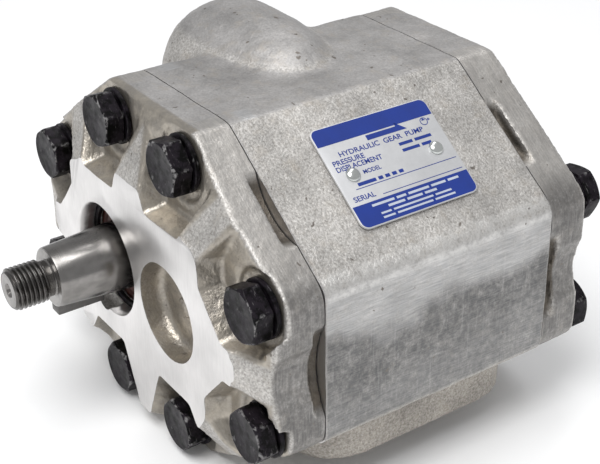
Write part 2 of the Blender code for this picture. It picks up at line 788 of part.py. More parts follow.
def cord(name, path, y, radius, kind="part", sides=2):
    """A closed round cord along (x, z) points at one station."""
    data = bpy.data.curves.new(name, "CURVE")
    data.dimensions = "3D"
    data.bevel_depth = radius * MM
    data.bevel_resolution = sides
    spline = data.splines.new("POLY")
    spline.points.add(len(path) - 1)
    for spot, (x, z) in zip(spline.points, path):
        spot.co = (x * MM, y * MM, z * MM, 1.0)
    spline.use_cyclic_u = True
    made = bpy.data.objects.new(name, data)
    if kind == "settled":
        TOOLS.objects.link(made)
        return settled_mesh(made, name)
    data.materials.append(RUBBER)
    PARTS.objects.link(made)
    return made


def make_bush(name, x_axis, stations):
    profile = ring_profile(BUSH_INNER_R, BUSH_OUTER_R, stations[0] + 2.6, stations[1] - 0.2)
    part(name, turned(name, profile, x_axis), BRONZE)


def make_shaft_seal():
    start, end = SEAL_Y
    lip_r = SEAL_LAND_R + GAP
    profile = [
        (15.6, end),
        (SEAL_R, end),
        (SEAL_R, start),
        (15.0, start),
        (13.4, start + 0.9),
        (lip_r, start + 0.9),
        (lip_r, start + 2.4),
        (13.6, end - 0.8),
        (14.6, start + 1.6),
        (15.6, start + 1.6),
        (15.6, end),
    ]
    part("shaft_seal", turned("shaft_seal", profile, DRIVE_X), SEAL_RUBBER)


def make_circlip():
    start, end = CLIP_Y
    profile = ring_profile(CLIP_INNER_R, CLIP_R, start, end)
    ring = part("seal_circlip", turned("seal_circlip", profile, DRIVE_X), BLACK_STEEL)
    opening = CLIP_LUG_ANGLE * 0.62
    wedge = [(DRIVE_X, 0.0)]
    wedge += arc(GEAR_AXES[0], 30.0, CLIP_GAP_ANGLE - opening, CLIP_GAP_ANGLE + opening, 2)
    cut(ring, tool("clip_gap", prism("clip_gap", wedge, start - 1, end + 1)))
    for i, side in enumerate((-1, 1)):
        angle = CLIP_GAP_ANGLE + side * CLIP_LUG_ANGLE
        spot = arc(GEAR_AXES[0], CLIP_LUG_RING_R, angle, angle, 2)[:1]
        join(ring, tool(f"clip_lug_{i}", cylinders("lug", start, end, CLIP_LUG_R, spot, "Y", SMALL_STEPS)))
        cut(ring, tool(f"clip_eye_{i}", cylinders("eye", start - 1, end + 1, 1.0, spot, "Y", SMALL_STEPS)))


# ---------------------------------------------------------------- fasteners

def fastener(kind, mesh, finish, index, x, z, y, turn, rear):
    facing = Matrix.Rotation(math.pi if rear else 0.0, 4, "Z")
    where = Matrix.Translation((x * MM, y * MM, z * MM)) @ facing
    where = where @ Matrix.Rotation(math.radians(turn), 4, "Y")
    side = "rear" if rear else "front"
    part(f"{side}_{kind}_{index}", mesh, finish, where)


def bolt_mesh(name, shank):
    """A hexagon bolt with the underside of its head at the origin and its shank along +Y."""
    head = tool(name, cylinders(name, -HEAD_HEIGHT, 0.0, HEAD_CORNER_R, [(0.0, 0.0)], "Y", 6))
    join(head, tool(name + "_shank", cylinders(name, -1.0, shank, BOLT_R, [(0.0, 0.0)], "Y", SMALL_STEPS)))
    return settled_mesh(head, name)


def washer_mesh():
    """A spring washer, slit on one side, resting on the origin plane with its height along -Y."""
    blank = tool("washer", cylinders("washer", -WASHER_HEIGHT, 0.0,
                                     WASHER_R, [(0.0, 0.0)], "Y", SMALL_STEPS + 2))
    hole = cylinders("washer_hole", -WASHER_HEIGHT - 1, 1.0, BOLT_HOLE_R, [(0.0, 0.0)], "Y", SMALL_STEPS + 2)
    slit = box("washer_slit", (-0.5, -WASHER_HEIGHT - 1, 2.0), (0.5, 1.0, WASHER_R + 1.0))
    cut(blank, tool("washer_hole", hole), tool("washer_slit", slit))
    return settled_mesh(blank, "spring_washer")


def make_fasteners():
    head_y = SEAT_Y - WASHER_HEIGHT - 2 * GAP
    front_bolt = bolt_mesh("front_bolt", FRONT_BOLT_TIP_Y - head_y)
    rear_head_y = REAR_FACE_Y + WASHER_HEIGHT + 2 * GAP
    rear_bolt = bolt_mesh("rear_bolt", rear_head_y - REAR_BOLT_TIP_Y - REAR_SINK)
    washer = washer_mesh()
    for i, (x, z, turn) in enumerate(BOLT_PLACES):
        fastener("bolt", front_bolt, BLACK_STEEL, i + 1, x, z, head_y, turn, False)
        fastener("washer", washer, BLACK_STEEL, i + 1, x, z, SEAT_Y - GAP, 3 * turn, False)
        x, z = REAR_AXES[i]
        sink = REAR_SINK if SUNK[i] else 0.0
        fastener("bolt", rear_bolt, BLACK_STEEL, i + 1, x, z, rear_head_y - sink, turn + 17.0, True)
        fastener("washer", washer, BLACK_STEEL, i + 1, x, z, REAR_FACE_Y + GAP - sink, 5 * turn, True)


def make_dowels():
    for joint, y in (("front", FRONT_JOINT_Y), ("rear", REAR_JOINT_Y)):
        for i, axis in enumerate(DOWEL_AXES):
            reach = DOWEL_REACH - GAP
            pin = cylinders("dowel", y - reach, y + reach, DOWEL_R, [axis], "Y", SMALL_STEPS)
            part(f"{joint}_dowel_{i + 1}", pin, STEEL)


# ---------------------------------------------------------------- nameplate

def make_nameplate():
    middle_down = sum(PLATE_UP) / 2
    middle_y = sum(PLATE_Y) / 2
    half_long = (PLATE_Y[1] - PLATE_Y[0]) / 2
    half_high = (PLATE_UP[1] - PLATE_UP[0]) / 2
    corners = [
        (half_long, half_high),
        (-half_long, half_high),
        (-half_long, -half_high),
        (half_long, -half_high),
    ]
    outline = rounded(corners, [PLATE_CORNER_R] * 4)
    where = on_slope(middle_down, middle_y, 0.0)
    mesh = flat_outline("nameplate", outline, GAP, GAP + PLATE_THICKNESS, where)
    plate = part("nameplate", mesh, PLATE)
    cut(plate, tool("plate_holes", rivet_holes()))
    for i, y in enumerate(RIVETS_Y):
        make_rivet(f"nameplate_rivet_{i + 1}", on_slope(middle_down, y, 0.0))


def make_rivet(name, where):
    """A domed head on a plain shank, along the local Z axis."""
    base = 2 * GAP + PLATE_THICKNESS
    height = RIVET_HEAD_HEIGHT
    dome = [(RIVET_HEAD_R * math.sin(a), base + height * math.cos(a)) for a in
            [i * math.pi / 10 for i in range(6)]]
    profile = dome + [(RIVET_R, base), (RIVET_R, -RIVET_DEPTH), (0.0, -RIVET_DEPTH)]
    mesh = turned(name, profile, 0.0, SMALL_STEPS)
    mesh.transform(AXIS_TURN["Y"].inverted())
    mesh.transform(where)
    part(name, mesh, RIVET)


# ---------------------------------------------------------------- assembly

make_front_cover()
make_body()
make_rear_cover()
make_drive_shaft()
make_driven_shaft()
make_key()
make_block("front_bearing_block", BLOCK_FRONT, BLOCK_FRONT[0] + BALANCE_CORD_R)
make_block("rear_bearing_block", BLOCK_REAR, BLOCK_REAR[1] - BALANCE_CORD_R)
make_bush("front_drive_bush", DRIVE_X, (BLOCK_FRONT[0] - 2.2, BLOCK_FRONT[1]))
make_bush("front_driven_bush", DRIVEN_X, (BLOCK_FRONT[0] - 2.2, BLOCK_FRONT[1]))
make_bush("rear_drive_bush", DRIVE_X, (BLOCK_REAR[0] - 2.2, BLOCK_REAR[1]))
make_bush("rear_driven_bush", DRIVEN_X, (BLOCK_REAR[0] - 2.2, BLOCK_REAR[1]))
cord("front_balance_seal", balance_path(), BLOCK_FRONT[0] + BALANCE_CORD_R, BALANCE_CORD_R)
cord("rear_balance_seal", balance_path(), BLOCK_REAR[1] - BALANCE_CORD_R, BALANCE_CORD_R)
cord("front_body_seal", racetrack(BODY_SEAL_R), FRONT_JOINT_Y - SEAL_CORD_R, SEAL_CORD_R)
cord("rear_body_seal", racetrack(BODY_SEAL_R), REAR_JOINT_Y + SEAL_CORD_R, SEAL_CORD_R)
make_shaft_seal()
make_circlip()
make_fasteners()
make_dowels()
make_nameplate()
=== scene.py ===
"""Looks for a hydraulic gear pump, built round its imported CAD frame."""

import json
import math

import bmesh
import bpy
import numpy as np
from mathutils import Matrix, Vector


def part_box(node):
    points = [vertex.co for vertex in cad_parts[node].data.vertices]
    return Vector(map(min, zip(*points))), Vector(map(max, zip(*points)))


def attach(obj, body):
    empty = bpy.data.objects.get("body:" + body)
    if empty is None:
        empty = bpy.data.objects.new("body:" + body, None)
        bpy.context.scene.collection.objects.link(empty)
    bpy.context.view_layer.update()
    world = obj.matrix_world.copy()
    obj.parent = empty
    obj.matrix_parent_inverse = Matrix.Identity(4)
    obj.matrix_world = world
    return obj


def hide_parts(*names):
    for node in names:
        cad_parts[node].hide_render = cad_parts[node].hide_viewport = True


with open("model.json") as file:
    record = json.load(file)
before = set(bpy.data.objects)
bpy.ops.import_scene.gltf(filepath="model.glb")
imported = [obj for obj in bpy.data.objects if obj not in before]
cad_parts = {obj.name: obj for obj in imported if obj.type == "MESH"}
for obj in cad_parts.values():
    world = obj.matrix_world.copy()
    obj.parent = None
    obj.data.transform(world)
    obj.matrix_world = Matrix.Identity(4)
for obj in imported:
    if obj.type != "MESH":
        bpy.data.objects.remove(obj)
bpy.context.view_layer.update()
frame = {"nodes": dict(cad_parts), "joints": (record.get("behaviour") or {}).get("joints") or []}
NODES = frame["nodes"]
MM = 0.001

# Places from the frame, in millimetres
SPIN = {j["name"]: Vector(j["pos_m"]) / MM for j in frame["joints"]}
DRIVE_X = SPIN["drive_spin"].x
DRIVEN_X = SPIN["driven_spin"].x
COVER_LOW, COVER_HIGH = (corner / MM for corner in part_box("front_cover"))
BODY_LOW, BODY_HIGH = (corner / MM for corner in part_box("pump_body"))
REAR_LOW, REAR_HIGH = (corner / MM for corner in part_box("rear_cover"))
SEAL_LOW, SEAL_HIGH = (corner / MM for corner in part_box("shaft_seal"))
SHAFT_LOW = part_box("drive_gear_shaft")[0] / MM
FRONT_Y = COVER_LOW.y

# Sizes in millimetres
SHAFT_BORE_R = 18.9
SHAFT_HOLE_R = 12.7
CHAMBER_R = 24.2
TAPER_SMALL_R = 9.9
TAPER_END_Y = -20.0
SEAL_LAND_R = 11.6
THREAD_CREST_R = 7.0
THREAD_ROOT_R = 6.05
THREAD_PITCH = 1.5
FLATS_R = 8.05                 # half the width across a bolt head's flats
HEAD_HEIGHT = 6.4
WASHER_R = 9.0
BOLT_R = 5.0
KEY_R = 8.2                    # of the Woodruff key's disc
KEY_ROOM = 0.25                # left round the key in its seat
INLET_Y, INLET_Z, INLET_R = 64.0, 43.0, 12.0
OUTLET_Y, OUTLET_R = 64.0, 10.0

# The face that carries the nameplate
SLOPE_TOP = Vector((25.7, 0.0, REAR_HIGH.z))
SLOPE_DOWN = (Vector((REAR_HIGH.x, 0.0, 25.4)) - SLOPE_TOP).normalized()
SLOPE_OUT = Vector((-SLOPE_DOWN.z, 0.0, SLOPE_DOWN.x))
PLATE_UP = (10.2, 44.6)        # from the top edge of that face, down the slope
PLATE_Y = (42.4, 85.3)
PLATE_BASE = 0.3
PLATE_THICKNESS = 0.8
PLATE_CORNER_R = 2.5
PRINT_INSET = 0.35             # bare metal left round the printed bands
RIVETS_Y = (48.6, 79.4)

# Outlines of the bolt pockets in the front cover, on its right: at the side, the top and the bottom
SIDE_POCKET = [(39.9, 28.3), (39.9, 18.8), (51.8, 5.4), (70.8, 6.0), (70.8, 76.0)]
TOP_POCKET = [(9.6, 29.0), (30.4, 29.0), (63.7, 80.0), (-11.0, 80.0)]
LOW_POCKET = [(11.5, 26.5), (31.3, 26.5), (66.0, 80.0), (-11.0, 80.0)]
SLOT_FRONT_Y = 17.9            # where the pry slots end, in the front and rear covers
SLOT_REAR_Y = 110.2


# ---------------------------------------------------------------- mesh helpers

def new_object(name, mesh):
    thing = bpy.data.objects.new(name, mesh)
    bpy.context.scene.collection.objects.link(thing)
    return thing


def mesh_of(name, points, faces):
    """A mesh from points in millimetres, with its faces turned outwards."""
    mesh = bpy.data.meshes.new(name)
    mesh.from_pydata([Vector(p) * MM for p in points], [], faces)
    shape = bmesh.new()
    shape.from_mesh(mesh)
    bmesh.ops.remove_doubles(shape, verts=shape.verts, dist=1e-7)
    bmesh.ops.recalc_face_normals(shape, faces=shape.faces)
    shape.to_mesh(mesh)
    shape.free()
    return mesh


def settle(thing):
    """Applies an object's modifiers."""
    graph = bpy.context.evaluated_depsgraph_get()
    graph.update()
    mesh = bpy.data.meshes.new_from_object(thing.evaluated_get(graph))
    thing.modifiers.clear()
    thing.data = mesh
    return thing


def modified(thing, kind, **settings):
    modifier = thing.modifiers.new(kind.lower(), kind)
    for key, value in settings.items():
        setattr(modifier, key, value)
    return modifier


def set_materials(mesh, materials):
    """Fills a mesh's material slots, and keeps which slot each face takes."""
    which = [face.material_index for face in mesh.polygons]
    mesh.materials.clear()
    for finish in materials:
        mesh.materials.append(finish)
    mesh.polygons.foreach_set("material_index", which)


def smooth(thing, sharp_degrees=32.0):
    thing.data.shade_smooth()
    thing.data.set_sharp_from_angle(angle=math.radians(sharp_degrees))


def finished(thing, body, slot, *materials, replaces=(), sharp=32.0):
    """Gives a piece its materials, its body and the nodes it stands for. Its slot argument is not used."""
    set_materials(thing.data, materials)
    smooth(thing, sharp)
    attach(thing, body)
    if replaces:
        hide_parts(*replaces)
    return thing


def arc(centre, radius, start, end, count):
    """Points along an arc in a plane, angles in radians."""
    angles = [start + (end - start) * i / (count - 1) for i in range(count)]
    return [(centre[0] + radius * math.cos(a), centre[1] + radius * math.sin(a)) for a in angles]


def lathe_mesh(name, profile, x, z=0.0, steps=96):
    """Turns (radius, y) points about an axis along Y. A profile that ends off the axis closes on itself."""
    closed = profile[0][0] > 0.0 or profile[-1][0] > 0.0
    rows = len(profile)
    points = []
    for i in range(steps):
        a = 2 * math.pi * i / steps
        points += [(x + r * math.cos(a), y, z + r * math.sin(a)) for r, y in profile]
    faces = []
    for i in range(steps):
        here, there = i * rows, (i + 1) % steps * rows
        for k in range(rows if closed else rows - 1):
            n = (k + 1) % rows
            faces.append((here + k, here + n, there + n, there + k))
    return mesh_of(name, points, faces)


def prism_mesh(name, outline, start, end, place=Matrix.Identity(4)):
    """Sweeps a flat outline along local Z, then puts it in place. Millimetres."""
    count = len(outline)
    points = [place @ Vector((x, y, start)) for x, y in outline]
    points += [place @ Vector((x, y, end)) for x, y in outline]
    faces = [tuple(range(count)), tuple(range(count, 2 * count))]
    faces += [(i, (i + 1) % count, count + (i + 1) % count, count + i) for i in range(count)]
    return mesh_of(name, points, faces)


def rounded_box(half_x, half_y, radius, count=7):
    """The outline of a rectangle with round corners."""
    quarter = math.pi / 2
    corners = [(1, 1, 0), (-1, 1, 1), (-1, -1, 2), (1, -1, 3)]
    points = []
    for sx, sy, turn in corners:
        centre = (sx * (half_x - radius), sy * (half_y - radius))
        points += arc(centre, radius, turn * quarter, (turn + 1) * quarter, count)
    return points


def on_slope(down, y, out):
    """A frame on the nameplate's face, in millimetres: X along +Y, Y up the slope, Z outwards."""
    spot = SLOPE_TOP + SLOPE_DOWN * down + SLOPE_OUT * out
    spot.y = y
    turn = Matrix((Vector((0.0, 1.0, 0.0)), -SLOPE_DOWN, SLOPE_OUT)).transposed().to_4x4()
    return Matrix.Translation(spot) @ turn


def merged_copy(node, name):
    """A copy of a CAD node's mesh with its corners joined up."""
    shape = bmesh.new()
    shape.from_mesh(NODES[node].data)
    bmesh.ops.remove_doubles(shape, verts=shape.verts, dist=1e-6)
    mesh = bpy.data.meshes.new(name)
    shape.to_mesh(mesh)
    shape.free()
    return new_object(name, mesh)


# ---------------------------------------------------------------- material helpers

def blank_material(name, metallic, roughness):
    made = bpy.data.materials.new(name)
    made.use_nodes = True
    shader = made.node_tree.nodes["Principled BSDF"]
    shader.inputs["Metallic"].default_value = metallic
    shader.inputs["Roughness"].default_value = roughness
    return made, made.node_tree, shader


def add(tree, kind, inputs=None, **settings):
    """Adds a node. An input is a plain value or another node's output."""
    node = tree.nodes.new(kind)
    for key, value in settings.items():
        setattr(node, key, value)
    for key, value in (inputs or {}).items():
        if isinstance(value, bpy.types.NodeSocket):
            tree.links.new(value, node.inputs[key])
        else:
            node.inputs[key].default_value = value
    return node


def place_of(tree, stretch=(1.0, 1.0, 1.0)):
    where = add(tree, "ShaderNodeTexCoord").outputs["Object"]
    return add(tree, "ShaderNodeMapping", {"Vector": where, "Scale": stretch}).outputs[0]


def noise(tree, where, scale, detail=3.0, rough=0.6):
    inputs = {"Vector": where, "Scale": scale, "Detail": detail, "Roughness": rough}
    return add(tree, "ShaderNodeTexNoise", inputs).outputs[0]


def ramp(tree, value, *stops):
    """A colour ramp. Each stop is a position and a grey level or a colour."""
    node = add(tree, "ShaderNodeValToRGB", {"Fac": value})
    bands = node.color_ramp.elements
    while len(bands) < len(stops):
        bands.new(0.5)
    for band, (position, colour) in zip(bands, stops):
        if isinstance(colour, (int, float)):
            colour = (colour, colour, colour)
        band.position = position
        band.color = (*colour, 1.0)
    return node.outputs[0]


def blend(tree, share, first, second, how="MIX"):
    node = add(tree, "ShaderNodeMix", data_type="RGBA", blend_type=how, clamp_factor=True)
    for key, value in ((0, share), (6, first), (7, second)):
        if isinstance(value, bpy.types.NodeSocket):
            tree.links.new(value, node.inputs[key])
        elif isinstance(value, tuple):
            node.inputs[key].default_value = (*value, 1.0)
        else:
            node.inputs[key].default_value = value
    return node.outputs[2]


def math_of(tree, operation, first, second=0.0):
    return add(tree, "ShaderNodeMath", {0: first, 1: second}, operation=operation).outputs[0]


def bump(tree, shader, height, strength, distance, under=None):
    inputs = {"Height": height, "Strength": strength, "Distance": distance}
    if under is not None:
        inputs["Normal"] = under
    normal = add(tree, "ShaderNodeBump", inputs).outputs[0]
    tree.links.new(normal, shader.inputs["Normal"])
    return normal


def attribute(tree, name):
    return add(tree, "ShaderNodeAttribute", attribute_name=name).outputs["Fac"]


# ---------------------------------------------------------------- materials

def cast_aluminium(name, streak, painted_body_light):
    """Sand-cast aluminium. The mesh says where it is grainy, belt-sanded, in a pocket or on a worn edge, and
    where the pry slots take painted shade; the sanded rim also takes painted light and shade.
    """
    made, tree, shader = blank_material(name, 0.8, 0.45)
    plain = place_of(tree)
    grain = noise(tree, plain, 1350.0, 4.0, 0.65)
    patches = noise(tree, plain, 60.0, 5.0, 0.6)
    stains = noise(tree, plain, 170.0, 5.0, 0.7)
    worn = noise(tree, plain, 420.0, 4.0, 0.7)
    streaks = noise(tree, place_of(tree, streak), 1.0, 4.0, 0.6)
    cross = noise(tree, place_of(tree, (1700.0, 1300.0, 60.0)), 1.0, 3.0, 0.6)
    grainy = attribute(tree, "grainy")
    smooth_skin = ramp(tree, grain, (0.3, (0.36, 0.348, 0.34)), (0.7, (0.51, 0.496, 0.485)))
    sandy_skin = ramp(tree, grain, (0.32, (0.35, 0.333, 0.31)), (0.5, (0.54, 0.52, 0.495)),
                      (0.68, (0.73, 0.71, 0.68)))
    colour = blend(tree, grainy, smooth_skin, sandy_skin)
    colour = blend(tree, 1.0, colour, ramp(tree, patches, (0.3, 0.7), (0.5, 0.95), (0.7, 1.12)), "MULTIPLY")
    # Painted shade on the body's foot block and lower slopes.
    if painted_body_light:
        colour = blend(tree, 1.0, colour, painted_foot_shade(tree, plain), "MULTIPLY")
    warm = ramp(tree, stains, (0.52, 0.0), (0.75, 0.5))
    colour = blend(tree, warm, colour, (0.46, 0.41, 0.345))
    sanded = ramp(tree, streaks, (0.25, (0.27, 0.272, 0.275)), (0.5, (0.37, 0.368, 0.366)),
                  (0.75, (0.50, 0.49, 0.485)))
    unevenness = ramp(tree, patches, (0.34, 0.86), (0.52, 0.97), (0.68, 1.05))
    sanded = blend(tree, 1.0, sanded, unevenness, "MULTIPLY")
    # Painted light and shade on the sanded rim, by height on the body and by slope on the covers.
    tone = painted_height_light(tree, plain) if painted_body_light else painted_slope_light(tree, plain)
    sanded = blend(tree, 1.0, sanded, tone, "MULTIPLY")
    sanded = blend(tree, ramp(tree, cross, (0.58, 0.0), (0.78, 0.3)), sanded, (0.60, 0.59, 0.58))
    broken = ramp(tree, worn, (0.3, 0.55), (0.6, 1.0))
    sand_share = math_of(tree, "MULTIPLY", attribute(tree, "sanded"), broken)
    colour = blend(tree, sand_share, colour, sanded)
    stained = ramp(tree, stains, (0.3, 0.6), (0.6, 1.0))
    in_pocket = math_of(tree, "MULTIPLY", attribute(tree, "pocket"), stained)
    pocket_skin = ramp(tree, stains, (0.3, (0.21, 0.183, 0.148)), (0.62, (0.45, 0.41, 0.35)))
    colour = blend(tree, in_pocket, colour, pocket_skin)
    edge = math_of(tree, "MULTIPLY", attribute(tree, "edge"), ramp(tree, worn, (0.35, 0.1), (0.6, 0.8)))
    colour = blend(tree, edge, colour, (0.74, 0.725, 0.70))
    nick = ramp(tree, noise(tree, plain, 330.0, 2.0, 0.5), (0.25, 0.0), (0.29, 1.0))
    colour = blend(tree, nick, (0.20, 0.18, 0.16), colour)
    # Painted shade: near-black towards the bottom of the pry slots.
    dirt_and_painted_shade = ramp(tree, stains, (0.3, (0.045, 0.038, 0.03)), (0.7, (0.16, 0.135, 0.105)))
    colour = blend(tree, attribute(tree, "dirt_and_painted_shade"), colour, dirt_and_painted_shade)
    tree.links.new(colour, shader.inputs["Base Color"])
    rough = blend(tree, grainy, (0.52, 0.52, 0.52), ramp(tree, grain, (0.3, 0.6), (0.7, 0.46)))
    rough = blend(tree, sand_share, rough, ramp(tree, streaks, (0.3, 0.5), (0.7, 0.34)))
    rough = blend(tree, in_pocket, rough, (0.3, 0.3, 0.3))
    rough = blend(tree, edge, rough, (0.34, 0.34, 0.34))
    tree.links.new(rough, shader.inputs["Roughness"])
    soft = ramp(tree, grain, (0.2, 0.35), (0.8, 0.65))
    height = blend(tree, grainy, soft, ramp(tree, grain, (0.2, 0.0), (0.8, 1.0)))
    height = blend(tree, sand_share, height, ramp(tree, streaks, (0.2, 0.35), (0.8, 0.65)))
    height = blend(tree, in_pocket, height, soft)
    first = bump(tree, shader, height, 0.5, 0.0003)
    bump(tree, shader, stains, 0.35, 0.0009, first)
    return made


def painted_height_light(tree, where):
    """Painted light: brighter towards the top, with a darker belt round the middle, and both wavering along
    the face.
    """
    patches = noise(tree, where, 32.0, 3.0, 0.55)
    height = add(tree, "ShaderNodeSeparateXYZ", {0: where}).outputs["Z"]
    waver = math_of(tree, "MULTIPLY", patches, 0.5)
    level = math_of(tree, "ADD", math_of(tree, "MULTIPLY", height, 16.0), waver)
    return ramp(tree, level, (0.0, 0.62), (0.2, 0.42), (0.33, 0.46), (0.43, 1.22), (0.7, 1.38))


def painted_foot_shade(tree, where):
    """Painted shade: the foot block and the lower slopes are painted darker and browner."""
    height = add(tree, "ShaderNodeSeparateXYZ", {0: where}).outputs["Z"]
    level = math_of(tree, "ADD", math_of(tree, "MULTIPLY", height, 10.0), 0.5)
    return ramp(tree, level, (0.2, (0.74, 0.715, 0.68)), (0.25, 1.0))


def painted_slope_light(tree, where):
    """Painted light and shade: the covers' sloping sides are painted bright and warm, their vertical ones
    darker.
    """
    height = add(tree, "ShaderNodeSeparateXYZ", {0: where}).outputs["Z"]
    level = math_of(tree, "MULTIPLY", math_of(tree, "ABSOLUTE", height), 10.0)
    return ramp(tree, level, (0.2, (0.52, 0.505, 0.49)), (0.27, (0.6, 0.575, 0.55)),
                (0.33, (1.3, 1.25, 1.18)))


def machined(name, base, low, high, stretch, strength):
    """Cut metal with fine tool lines."""
    made, tree, shader = blank_material(name, 1.0, 0.3)
    lines = noise(tree, place_of(tree, stretch), 1.0, 3.0, 0.5)
    clouds = noise(tree, place_of(tree), 55.0, 3.0, 0.5)
    fine_tone = ramp(tree, lines, (0.3, 0.96), (0.7, 1.03))
    tone = blend(tree, 1.0, fine_tone, ramp(tree, clouds, (0.3, 0.86), (0.7, 1.05)), "MULTIPLY")
    tree.links.new(blend(tree, 1.0, base, tone, "MULTIPLY"), shader.inputs["Base Color"])
    tree.links.new(ramp(tree, clouds, (0.3, high), (0.7, low)), shader.inputs["Roughness"])
    bump(tree, shader, lines, strength, 0.00004)
    return made


def turned_steel(name, base, roughness):
    """Ground steel with rings round the Y axis."""
    made, tree, shader = blank_material(name, 1.0, roughness)
    rings = noise(tree, place_of(tree, (8.0, 5200.0, 8.0)), 1.0, 3.0, 0.6)
    stains = noise(tree, place_of(tree, (90.0, 60.0, 90.0)), 1.0, 4.0, 0.65)
    dirt_and_painted_shade = ramp(tree, stains, (0.4, 1.0), (0.7, 0.5))
    tone = blend(tree, 1.0, ramp(tree, rings, (0.3, 0.86), (0.7, 1.08)), dirt_and_painted_shade, "MULTIPLY")
    tree.links.new(blend(tree, 1.0, base, tone, "MULTIPLY"), shader.inputs["Base Color"])
    tree.links.new(ramp(tree, stains, (0.35, roughness), (0.75, roughness + 0.2)), shader.inputs["Roughness"])
    bump(tree, shader, rings, 0.12, 0.00005)
    return made


def black_oxide(name):
    """Blackened steel: violet-grey where it is rubbed, with scuffs and pale scratches."""
    made, tree, shader = blank_material(name, 0.1, 0.36)
    shader.inputs["Specular IOR Level"].default_value = 0.12
    plain = place_of(tree)
    rubbed = ramp(tree, noise(tree, plain, 260.0, 5.0, 0.7), (0.42, 0.0), (0.56, 1.0))
    speckle = ramp(tree, noise(tree, plain, 900.0, 3.0, 0.6), (0.6, 0.0), (0.68, 1.0))
    scratches = noise(tree, place_of(tree, (400.0, 2400.0, 300.0)), 1.0, 2.0, 0.5)
    scratches = ramp(tree, scratches, (0.66, 0.0), (0.72, 1.0))
    colour = blend(tree, rubbed, (0.001, 0.001, 0.001), (0.014, 0.011, 0.015))
    colour = blend(tree, math_of(tree, "MULTIPLY", speckle, 0.15), colour, (0.11, 0.10, 0.11))
    colour = blend(tree, math_of(tree, "MULTIPLY", scratches, 0.3), colour, (0.30, 0.29, 0.29))
    colour = blend(tree, worn_edge(tree), colour, (0.20, 0.195, 0.195))
    tree.links.new(colour, shader.inputs["Base Color"])
    rough = ramp(tree, noise(tree, plain, 320.0, 4.0, 0.6), (0.3, 0.28), (0.7, 0.55))
    tree.links.new(rough, shader.inputs["Roughness"])
    bump(tree, shader, noise(tree, plain, 700.0, 4.0, 0.6), 0.3, 0.00015)
    return made


def worn_edge(tree):
    """Broken, bright lines along a bolt head's edges, from the mesh's own marks."""
    broken = ramp(tree, noise(tree, place_of(tree), 500.0, 3.0, 0.6), (0.5, 0.0), (0.62, 1.0))
    return math_of(tree, "MULTIPLY", attribute(tree, "edge"), broken)


def rubber(name, dark, light):
    made, tree, shader = blank_material(name, 0.0, 0.5)
    plain = place_of(tree)
    grain = noise(tree, plain, 700.0, 3.0, 0.6)
    colour = ramp(tree, noise(tree, plain, 220.0, 4.0, 0.6), (0.3, dark), (0.7, light))
    tree.links.new(colour, shader.inputs["Base Color"])
    tree.links.new(ramp(tree, grain, (0.3, 0.6), (0.7, 0.38)), shader.inputs["Roughness"])
    bump(tree, shader, grain, 0.2, 0.00008)
    return made


def printed(name, base, metallic, roughness):
    """Lacquered print or anodised plate with a slight unevenness."""
    made, tree, shader = blank_material(name, metallic, roughness)
    clouds = noise(tree, place_of(tree), 130.0, 4.0, 0.6)
    fine = noise(tree, place_of(tree), 2600.0, 2.0, 0.5)
    colour = blend(tree, 1.0, base, ramp(tree, clouds, (0.3, 0.9), (0.7, 1.08)), "MULTIPLY")
    tree.links.new(colour, shader.inputs["Base Color"])
    tree.links.new(ramp(tree, clouds, (0.3, roughness + 0.1), (0.7, roughness)), shader.inputs["Roughness"])
    bump(tree, shader, fine, 0.08, 0.00003)
    return made


COVER_CAST = cast_aluminium("cast_cover", (160.0, 1900.0, 160.0), False)
BODY_CAST = cast_aluminium("cast_body", (2200.0, 120.0, 2200.0), True)
MILLED = machined("milled_face", (0.76, 0.745, 0.735), 0.3, 0.4, (1100.0, 1100.0, 160.0), 0.05)
ALLOY = machined("bearing_alloy", (0.58, 0.58, 0.57), 0.3, 0.45, (700.0, 700.0, 700.0), 0.2)
BRONZE = machined("bronze", (0.45, 0.27, 0.12), 0.3, 0.42, (20.0, 2600.0, 20.0), 0.25)
GROUND = turned_steel("ground_steel", (0.30, 0.288, 0.276), 0.16)
THREADED = turned_steel("threaded_steel", (0.17, 0.162, 0.155), 0.2)
KEY_STEEL = turned_steel("key_steel", (0.16, 0.155, 0.15), 0.4)
BLACK = black_oxide("black_oxide")
NITRILE = rubber("nitrile", (0.012, 0.011, 0.010), (0.03, 0.028, 0.025))
LIP_RUBBER = rubber("lip_rubber", (0.035, 0.010, 0.007), (0.10, 0.026, 0.017))
PLATE_METAL = printed("plate_metal", (0.60, 0.603, 0.612), 0.4, 0.42)
PRINT_BLUE = printed("print_blue", (0.002, 0.026, 0.225), 0.0, 0.5)
PRINT_WHITE = printed("print_white", (0.50, 0.54, 0.62), 0.1, 0.4)
RIVET_METAL = printed("rivet_metal", (0.66, 0.68, 0.66), 1.0, 0.16)


# ---------------------------------------------------------------- castings

def pushed_out(thing, planes):
    """Moves the points on each machined plane outwards, so that machining can cut back to it."""
    for point in thing.data.vertices:
        for y, push in planes:
            if abs(point.co.y / MM - y) < 0.02:
                point.co.y += push * MM
                break


def vertex_array(mesh, what):
    values = np.empty(len(mesh.vertices) * 3)
    if what == "normal":
        mesh.vertex_normals.foreach_get("vector", values)
    else:
        mesh.vertices.foreach_get("co", values)
    return values.reshape(-1, 3)


def store(mesh, name, values):
    layer = mesh.attributes.new(name, "FLOAT", "POINT")
    layer.data.foreach_set("value", np.clip(values, 0.0, 1.0).astype(np.float32))


def roughened(thing, scale, strength):
    pattern = bpy.data.textures.new(thing.name, "CLOUDS")
    pattern.noise_scale = scale * MM
    pattern.noise_depth = 2
    modified(thing, "DISPLACE", texture=pattern, strength=strength * MM, mid_level=0.5,
             texture_coords="LOCAL")


